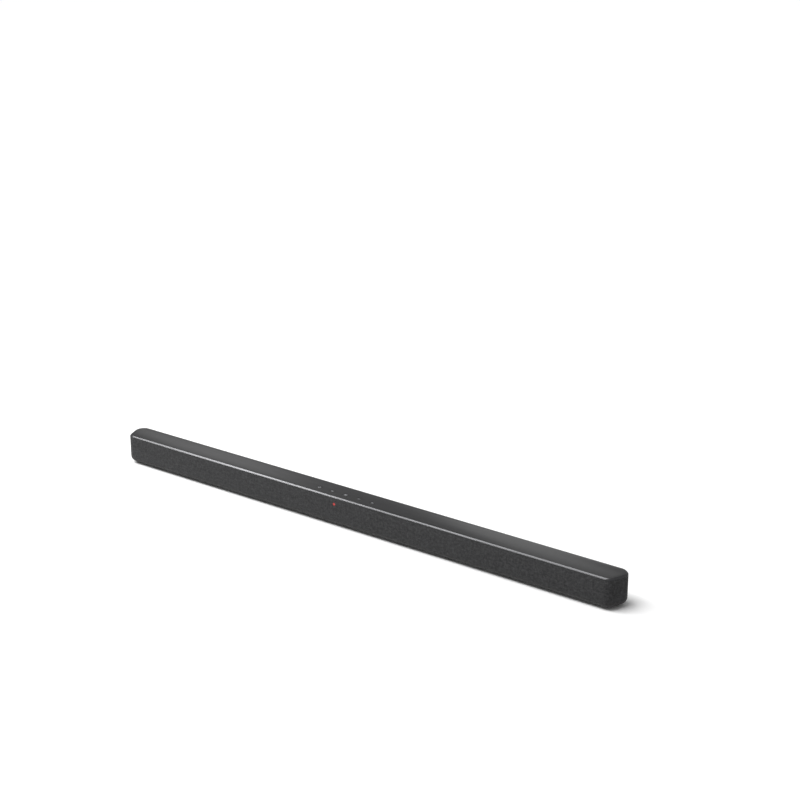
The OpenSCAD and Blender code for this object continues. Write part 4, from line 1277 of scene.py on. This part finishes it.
@dataclass
class CrossScrew:
    """A screw with a domed head, a cross recess and a rolled thread, its head towards -Z.

    Attributes:
        head_r: Radius of the head.
        head_h: Height of the head.
        shank_r: Radius over the thread.
        length: Length of the shank.
        pitch: Pitch of the thread.
        steps: Sides of the round stretches.
    """

    head_r: float
    head_h: float
    shank_r: float
    length: float
    pitch: float = 1.0
    steps: int = 32

    def shape(self) -> Shape:
        """Makes the screw, with the underside of its head at the origin."""
        shape = Shape()
        core, crest = self.shank_r * 0.8, self.shank_r
        dome = [(self.head_r * math.sin(a), -self.head_h + self.head_h * 0.45 * (1 - math.cos(a)))
                for a in (math.radians(d) for d in (40, 65, 90))]
        thread = []
        count = int((self.length - 1.2) / self.pitch)
        for k in range(count):
            z = 0.2 + k * self.pitch
            thread += [(core, z), (crest, z + self.pitch * 0.35), (crest, z + self.pitch * 0.45)]
        head = [(0.0, -self.head_h)] + dome + [(self.head_r, 0.0)]
        tip = [(core, 0.2 + count * self.pitch), (0.3, self.length), (0.0, self.length)]
        shape.spin(head + thread + tip, self.steps)
        self.recess(shape)
        return shape

    def recess(self, shape: Shape) -> None:
        """Sinks the cross into the top of the head."""
        arm, half, depth = self.head_r * 0.6, self.head_r * 0.11, self.head_h * 0.55

        def near(face: bmesh.types.BMFace) -> bool:
            """Whether a face lies in the outer half of the head."""
            return all(v.co.z < -self.head_h * 0.5 for v in face.verts)

        for axis in (0, 1):
            for at in (-arm, -half, half, arm):
                way = Vector((0.0, 0.0, 0.0))
                way[axis] = 1.0
                faces = [f for f in shape.bm.faces if near(f)]
                geom = list({v for f in faces for v in f.verts} | {e for f in faces for e in f.edges}) + faces
                bmesh.ops.bisect_plane(shape.bm, geom=geom, plane_co=way * at, plane_no=way, dist=0.0001)
        inside = []
        for face in shape.bm.faces:
            c = face.calc_center_median()
            a, b = sorted((abs(c.x), abs(c.y)))
            if near(face) and a < half and b < arm:
                inside.append(face)
        moved = shape.push(inside, (0.0, 0.0, depth))
        for vert in moved:
            vert.co.x *= 0.8
            vert.co.y *= 0.8


@dataclass
class Fasteners:
    """A node's worth of equal screws.

    Attributes:
        node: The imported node.
        screw: The screw.
        places: Where the screws stand.
    """

    node: str
    screw: CrossScrew
    places: list[Matrix]

    def build(self) -> bpy.types.Object:
        """Makes the screws."""
        shape = Shape().repeat(self.screw.shape(), self.places)
        return place_piece(shape, self.node + "_set", "bar", [DARK_STEEL], [self.node])


@dataclass
class ThreadedInserts:
    """The two knurled brass inserts for wall screws.

    Attributes:
        bore_r: Radius of the bore at the thread's crest.
        pitch: The thread's pitch.
        knurls: Ridges round an insert.
    """

    bore_r: float = 2.0
    pitch: float = 0.7
    knurls: int = 36

    def build(self) -> bpy.types.Object:
        """Makes both inserts."""
        low, high = box_mm("wall_inserts")
        r, length = (high.z - low.z) / 2, high.y - low.y
        count = int((length - 1.0) / self.pitch)
        thread = []
        for k in range(count, 0, -1):
            z = 0.2 + k * self.pitch
            thread += [(self.bore_r + 0.02, z), (self.bore_r + 0.38, z - self.pitch / 2)]
        neck = r - 0.35
        collar = [(r, length - 2.2), (neck, length - 2.0), (neck, length - 1.2), (r, length - 1.0),
                  (r, length - 0.2)]
        inner_end = [(self.bore_r + 0.4, 0.0), (r - 0.3, 0.0), (r, 0.3)]
        outer_end = [(r - 0.2, length), (self.bore_r + 0.5, length)]
        one = Shape()
        one.spin(inner_end + collar + outer_end + thread, 2 * self.knurls, closed=True)
        for vert in one.bm.verts:
            flat = math.hypot(vert.co.x, vert.co.y)
            turn = round(math.atan2(vert.co.y, vert.co.x) / math.tau * 2 * self.knurls)
            if flat > r - 0.05 and vert.co.z < length - 2.1 and turn % 2:
                vert.co.x *= (r - 0.18) / flat
                vert.co.y *= (r - 0.18) / flat
        reach, z = high.x - r, (low.z + high.z) / 2
        turn = Matrix.Rotation(-math.pi / 2, 4, "X")
        places = [Matrix.Translation((side * reach, low.y, z)) @ turn for side in (-1, 1)]
        shape = Shape().repeat(one, places)
        return place_piece(shape, "threaded_inserts", "bar", [BRASS], ["wall_inserts"], 25.0)


# ---------------------------------------------------------------- sockets


@dataclass
class ShellSocket:
    """A folded metal socket shell with a tongue and a row of contacts.

    Attributes:
        node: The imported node.
        corners: Radius of the shell's corners, lower and upper.
        metal: Thickness of the shell.
        tongue: Height of the tongue's lower side above the shell's, and its thickness.
        contacts: Contacts on the tongue.
        below: Whether the contacts are on the tongue's lower side.
    """

    node: str
    corners: tuple[float, float]
    metal: float
    tongue: tuple[float, float]
    contacts: int
    below: bool = False

    def build(self) -> bpy.types.Object:
        """Makes the shell, the tongue and the contacts."""
        low, high = box_mm(self.node)
        shape = Shape()
        shape.box(low, high)
        for r, level in zip(self.corners, (low.z, high.z)):
            lengthwise = shape.edges(lambda e: abs(e.verts[0].co.y - e.verts[1].co.y) > 1.0)
            at_side = [e for e in lengthwise
                       if all(min(abs(v.co.x - low.x), abs(v.co.x - high.x)) < 0.01 for v in e.verts)]
            shape.bevel([e for e in at_side if all(abs(v.co.z - level) < 0.01 for v in e.verts)], r, 4)
        mouth = max(shape.facing((0, 1, 0)), key=lambda f: f.calc_area())
        bmesh.ops.inset_region(shape.bm, faces=[mouth], thickness=self.metal, depth=0.0, use_even_offset=True)
        mouth = max(shape.facing((0, 1, 0)), key=lambda f: f.calc_area())
        depth = high.y - low.y - 1.5
        shape.push([mouth], (0.0, -depth, 0.0))
        lip = [e for e in shape.sharp(60.0) if all(v.co.y > high.y - 0.01 for v in e.verts)]
        shape.bevel(lip, self.metal * 0.3, 2)
        x0, x1 = low.x + 1.8, high.x - 1.8
        z0 = low.z + self.tongue[0]
        z1 = z0 + self.tongue[1]
        back = high.y - depth
        tongue = shape.box((x0, back - 0.3, z0), (x1, high.y - 1.2, z1))
        rounded = bmesh.ops.bevel(shape.bm, geom=list(edges_of(tongue)), offset=0.15, affect="EDGES",
                                  segments=2, profile=0.5, material=-1)["faces"]
        for face in set(rounded) | {f for v in tongue if v.is_valid for f in v.link_faces}:
            face.material_index = 1
        step = (x1 - x0 - 0.8) / self.contacts
        side = z0 if self.below else z1
        half_x, half_z = step * 0.28, 0.06
        for k in range(self.contacts):
            x = x0 + 0.4 + (k + 0.5) * step
            pad = shape.box((x - half_x, back, side - half_z), (x + half_x, high.y - 1.8, side + half_z))
            shape.paint(pad, 2)
        name = self.node + "_body"
        return place_piece(shape, name, "bar", [STEEL, SOCKET, BRASS], [self.node])


@dataclass
class JackSocket:
    """The audio socket: a moulded block with a round nose and a spring contact in its bore.

    Attributes:
        bore_r: Radius of the bore.
        nose_r: Radius of the raised ring round the bore.
    """

    bore_r: float = 1.8
    nose_r: float = 3.1

    def build(self) -> bpy.types.Object:
        """Makes the block and its ring."""
        low, high = box_mm("aux_jack")
        centre = (low + high) / 2
        shape = Shape()
        shape.box(low, high)
        shape.soften(0.3, 2)
        mouth = max(shape.facing((0, 1, 0)), key=lambda f: f.calc_area())
        bmesh.ops.inset_region(shape.bm, faces=[mouth], thickness=0.4, depth=0.0, use_even_offset=True)
        mouth = max(shape.facing((0, 1, 0)), key=lambda f: f.calc_area())
        shape.push([mouth], (0.0, -0.5, 0.0))
        depth = high.y - low.y - 1.0
        bore, nose = self.bore_r, self.nose_r
        lip = shape.spin([(bore, -0.2), (bore, -depth), (nose, -depth), (nose, -0.25), (nose - 0.25, 0.0),
                          (bore + 0.2, 0.0)], 64, closed=True)
        turn = Matrix.Translation((centre.x, high.y, centre.z)) @ Matrix.Rotation(-math.pi / 2, 4, "X")
        shape.move(lip, turn)
        contact_r, contact_z = bore - 0.02, -depth + 0.4
        plug = shape.spin([(0.0, contact_z), (contact_r, contact_z), (contact_r, -depth), (0.0, -depth)], 32)
        shape.paint(shape.move(plug, turn), 1)
        return place_piece(shape, "aux_jack_body", "bar", [SOCKET, BRASS], ["aux_jack"])


@dataclass
class InletPins:
    """The mains inlet's two round pins.

    Attributes:
        r: Radius of a pin.
    """

    r: float = 1.15

    def build(self) -> bpy.types.Object:
        """Makes both pins, with domed tips and a flattened tail for soldering."""
        low, high = box_mm("inlet_pins")
        length = high.y - low.y
        tail_r, tip_h = self.r * 0.7, self.r * 0.8
        dome = [(self.r * math.cos(a), length - tip_h * (1 - math.sin(a))) for a in (0.0, 0.4, 0.8, 1.2)]
        one = Shape()
        one.spin([(0.0, 0.0), (tail_r, 0.0), (tail_r, 2.2), (self.r, 2.8)] + dome + [(0.0, length)], 40)
        x, z = high.x - self.r, (low.z + high.z) / 2
        other = low.x + self.r
        turn = Matrix.Rotation(-math.pi / 2, 4, "X")
        places = [Matrix.Translation((at, low.y, z)) @ turn for at in (other, x)]
        pair = Shape().repeat(one, places)
        return place_piece(pair, "inlet_pin_pair", "bar", [STEEL], ["inlet_pins"])


# ---------------------------------------------------------------- loudspeakers


@dataclass
class Loudspeaker:
    """One racetrack loudspeaker. Its own Z axis points at the listener.

    Attributes:
        number: Its number, from the left.
        straight: Half length of the cone's straight part.
        roll_mid: Distance of the surround's crest from the middle line.
        roll_r: Radius of the surround's roll.
        skin: Thickness of the surround.
        cone_r: Radius of the cone's rim.
        neck_r: Radius of its neck.
        cone_depth: Depth of the cone.
        coil_r: Radius of the voice coil's former.
        magnet_r: Radius of the magnet.
        steps: Steps in a full turn. It isn't a multiple of four, so the straight parts stay straight.
    """

    number: int
    straight: float = 25.0
    roll_mid: float = 10.2
    roll_r: float = 1.4
    skin: float = 0.4
    cone_r: float = 8.7
    neck_r: float = 7.6
    cone_depth: float = 6.4
    coil_r: float = 7.0
    magnet_r: float = 13.0
    steps: int = 66

    @property
    def node(self) -> str:
        """The start of its nodes' names."""
        return f"driver_{self.number}_"

    def frame(self) -> Matrix:
        """Its place: on the back of the baffle, facing forwards."""
        low, high = box_mm(self.node + "basket")
        at = Matrix.Translation(((low.x + high.x) / 2, low.y, (low.z + high.z) / 2))
        return at @ Matrix.Rotation(math.pi / 2, 4, "X")

    def finish(self, shape: Shape, part: str, finishes: list[Finish], slot: str, body: str,
               smooth: float = 35.0) -> None:
        """Puts a shape in its place and makes a piece of it."""
        shape.move(list(shape.bm.verts), self.frame())
        place_piece(shape, self.node + part + "_form", body, finishes, [self.node + part], smooth)

    def stretched(self, verts: list[bmesh.types.BMVert], share: Callable[[Vector], float]) -> None:
        """Draws a round shape out to a racetrack by moving its halves apart."""
        for vert in verts:
            vert.co.x += math.copysign(self.straight * share(vert.co), vert.co.x)

    def build(self) -> None:
        """Makes the suspension, the cone, the coil and the motor."""
        self.suspension()
        self.cone()
        self.voice_coil()
        self.motor()

    def suspension(self) -> None:
        """Makes the half-roll surround and the pleated spider."""
        shape = Shape()
        angles = [math.pi * k / 12 for k in range(13)]
        outer = [(self.roll_mid + self.roll_r * math.cos(a), self.roll_r * math.sin(a)) for a in angles]
        thin = self.roll_r - self.skin
        inner = [(self.roll_mid + thin * math.cos(a), thin * math.sin(a)) for a in reversed(angles)]
        land = [(self.roll_mid + self.roll_r + 0.2, 0.0), (self.roll_mid + self.roll_r + 0.2, self.skin),
                (self.roll_mid + self.roll_r - 0.05, self.skin)]
        roll = shape.spin(inner + land + outer[2:], self.steps, closed=True)
        self.stretched(roll, lambda co: 1.0)
        low, high = self.coil_r + 0.1, self.magnet_r - 0.5
        steps, level, ripple = 24, -7.1, 0.3
        wave = [(low + (high - low) * k / steps, level + ripple * (1 - math.cos(math.pi * k / 6)))
                for k in range(steps + 1)]
        spider = shape.spin(wave + [(r, z - 0.3) for r, z in reversed(wave)], 48, closed=True)
        shape.paint(spider, 1)
        cloth = Moulding("spider_cloth", tone=(0.2, 0.13, 0.06), rough=0.8, grain=0.4, depth=0.05)
        self.finish(shape, "suspension", [SURROUND, cloth], "surround_rubber", "bar", 50.0)

    def cone(self) -> None:
        """Makes the ribbed cone and its dust cap."""
        shape = Shape()
        rim = 0.3
        count = 12
        outside = []
        for k in range(count + 1):
            f = k / count
            swell = 0.45 * math.sin(math.pi * f)
            r = self.neck_r + (self.cone_r - self.neck_r) * f
            outside.append((r, -self.cone_depth + self.cone_depth * f - swell * 0.4))
        inside = [(r - 0.5, z + 0.12) for r, z in reversed(outside)]
        lip = [(self.cone_r, rim), (self.cone_r - 0.5, rim)]
        cone = shape.spin(outside + lip + inside, self.steps, closed=True)
        depth, power = self.cone_depth, 0.92
        self.stretched(cone, lambda co: min(1.0, max(0.0, (co.z + depth) / depth)) ** power)
        cap_h, seat = 2.2, -self.cone_depth + 0.8
        dome = [(self.coil_r * math.sin(a) / math.sin(1.0),
                 seat + cap_h * (math.cos(a) - math.cos(1.0)) / (1 - math.cos(1.0)))
                for a in (k / 10 for k in range(11))]
        under = [(r * 0.98, z - 0.3) for r, z in reversed(dome)]
        cap = shape.spin(dome + under, 48)
        shape.paint(cap, 1)
        cap_finish = Moulding("dust_cap", tone=(0.015, 0.015, 0.016), rough=0.35, grain=0.3, depth=0.006)
        self.finish(shape, "cone", [PULP, cap_finish], "cone_paper", f"moving_cone_{self.number}", 40.0)

    def voice_coil(self) -> None:
        """Makes the former and two layers of wire on it."""
        low, high = box_mm(self.node + "voice_coil")
        origin = self.frame().translation.y
        z0, z1 = origin - high.y, origin - low.y
        wall, wire, turns = 0.25, 0.2, 24
        shape = Shape()
        outer, inner = self.coil_r, self.coil_r - wall
        shape.spin([(inner, z0), (outer, z0), (outer, z1), (inner, z1)], 64, closed=True)
        start = z0 + 0.5
        ridge = []
        for k in range(turns):
            z = start + k * wire
            ridge += [(outer + 0.1, z), (outer + 0.24, z + wire * 0.25), (outer + 0.24, z + wire * 0.75)]
        end = start + turns * wire
        bed = [(outer + 0.1, end), (outer - 0.05, end), (outer - 0.05, start)]
        coil = shape.spin(ridge + bed, 48, closed=True)
        shape.paint(coil, 1)
        former = Metal("former_foil", tone=(0.75, 0.75, 0.76), rough=0.3)
        self.finish(shape, "voice_coil", [former, COPPER], "coil_copper", f"moving_cone_{self.number}", 25.0)

    def motor(self) -> None:
        """Makes the two plates, the pole and the ring magnet."""
        low, high = box_mm(self.node + "motor")
        origin = self.frame().translation.y
        back, front = origin - high.y, origin - low.y
        plate_t, yoke_t, edge = 2.5, 2.0, 0.35
        plate_r, hole_r, pole_r = self.magnet_r - 0.5, self.coil_r + 0.45, self.coil_r - 0.45
        shape = Shape()
        under = front - plate_t
        flat_r = plate_r - edge
        shape.spin([(hole_r, under), (flat_r, under), (plate_r, under + edge), (plate_r, front - edge),
                    (flat_r, front), (hole_r + edge, front), (hole_r, front - edge)], 72, closed=True)
        yoke_top = back + yoke_t
        shape.spin([(0.0, back), (1.2, back), (1.2, back + 0.5), (3.6, back + 0.5), (3.6, back),
                    (flat_r, back), (plate_r, back + edge), (plate_r, yoke_top), (pole_r, yoke_top),
                    (pole_r, front - 0.4), (pole_r - 0.4, front), (0.0, front)], 72)
        ring_r, rim_r, round_r = hole_r + 1.0, self.magnet_r, 0.5
        magnet = shape.spin([(ring_r, yoke_top), (rim_r - round_r, yoke_top), (rim_r, yoke_top + round_r),
                             (rim_r, under - round_r), (rim_r - round_r, under), (ring_r, under)], 72,
                            closed=True)
        shape.paint(magnet, 1)
        plated = Metal("zinc_plate", tone=(0.55, 0.56, 0.58), rough=0.32, stretch=(1.0, 1.0, 1.0))
        self.finish(shape, "motor", [plated, FERRITE], "magnet_iron", "bar", 30.0)


def dress_rest(finishes: dict[str, Finish]) -> None:
    """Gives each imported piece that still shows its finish.

    Args:
        finishes: The finish for each start of a node's name.
    """
    for name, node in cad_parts.items():
        if node.hide_render:
            continue
        finish = next((f for start, f in finishes.items() if name.startswith(start)), None)
        if finish is None:
            raise LookupError(f"no finish for {name}")
        for k in range(max(1, len(node.data.materials))):
            if k < len(node.data.materials):
                node.data.materials[k] = finish.material()
            else:
                node.data.materials.append(finish.material())
        LOG.info("%s: %s", name, finish.name)


def screw_sets() -> list[Fasteners]:
    """The bar's visible screws."""
    low, high = box_mm("cover_screws")
    head_r, head_h, shank_r, pitch = 2.6, 2.0, 1.4, 1.2
    distances = (165.0, 300.0, high.x - head_r)
    y, z = (low.y + high.y) / 2, low.z + head_h
    screw = CrossScrew(head_r, head_h, shank_r, high.z - z, pitch)
    places = [Matrix.Translation((side * x, y, z)) for side in (-1, 1) for x in distances]
    return [Fasteners("cover_screws", screw, places)]


def main() -> None:
    """Builds every piece and reports it."""
    logging.basicConfig(level=logging.INFO, format="%(message)s")
    cover_high = box_mm("top_cover")[1]
    lens_low, lens_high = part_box("lamp_lens")
    lamp = ((lens_low.x + lens_high.x) / 2, lens_low.y, (lens_low.z + lens_high.z) / 2)
    outline = Outline(cover_high.x, cover_high.y)
    Studio().build()
    ClothWrap(outline, lamp).build()
    TopShell().build()
    for mark in Mark:
        PushKey(mark).build()
    Softened("cabinet", [CABINET], "cabinet_plastic", round_r=0.2).build()
    Softened("io_bay", [CABINET], "cabinet_plastic").build()
    Softened("power_inlet", [SOCKET], "socket_plastic", round_r=0.25, segments=3).build()
    Softened("optical_socket", [SOCKET], "socket_plastic", round_r=0.12).build()
    Softened("optical_shutter", [SOCKET], "socket_plastic", "optical_flap", round_r=0.08).build()
    RubberFeet().build()
    ThreadedInserts().build()
    InletPins().build()
    JackSocket().build()
    ShellSocket("hdmi_socket", (1.6, 0.5), 0.45, (2.3, 0.9), 10).build()
    ShellSocket("usb_socket", (0.5, 0.5), 0.5, (3.9, 1.0), 4, below=True).build()
    for screws in screw_sets():
        screws.build()
    for number in range(1, 5):
        Loudspeaker(number).build()
        Softened(f"driver_{number}_basket", [INNER], "inner_plastic", round_r=0.12).build()
    for node in ("grille_frame", "baffle"):
        Softened(node, [INNER], "inner_plastic").build()
    for node in ("main_board", "power_board", "key_board"):
        Softened(node, [BOARD], "circuit_board", round_r=0.08, segments=1).build()
    Softened("heat_sink", [ALUMINIUM], "sink_aluminium", round_r=0.12).build()
    Softened("amplifier_chips", [CHIP], "chip_plastic", round_r=0.1).build()
    Softened("radio_module", [STEEL], "plated_steel", round_r=0.2).build()
    dress_rest({"baffle_gasket": FOAM, "display_board": BOARD, "lamp_lens": LENS,
                "remote_receiver": DARK_LENS, "tact_switches": CHIP, "transformer": TAPE,
                "capacitors": SLEEVE, "baffle_screws": DARK_STEEL, "driver_screws": DARK_STEEL,
                "board_screws": DARK_STEEL, "speaker_leads": BLACK_LEAD, "board_leads": RED_LEAD})


if __name__ == "__main__":
    main()
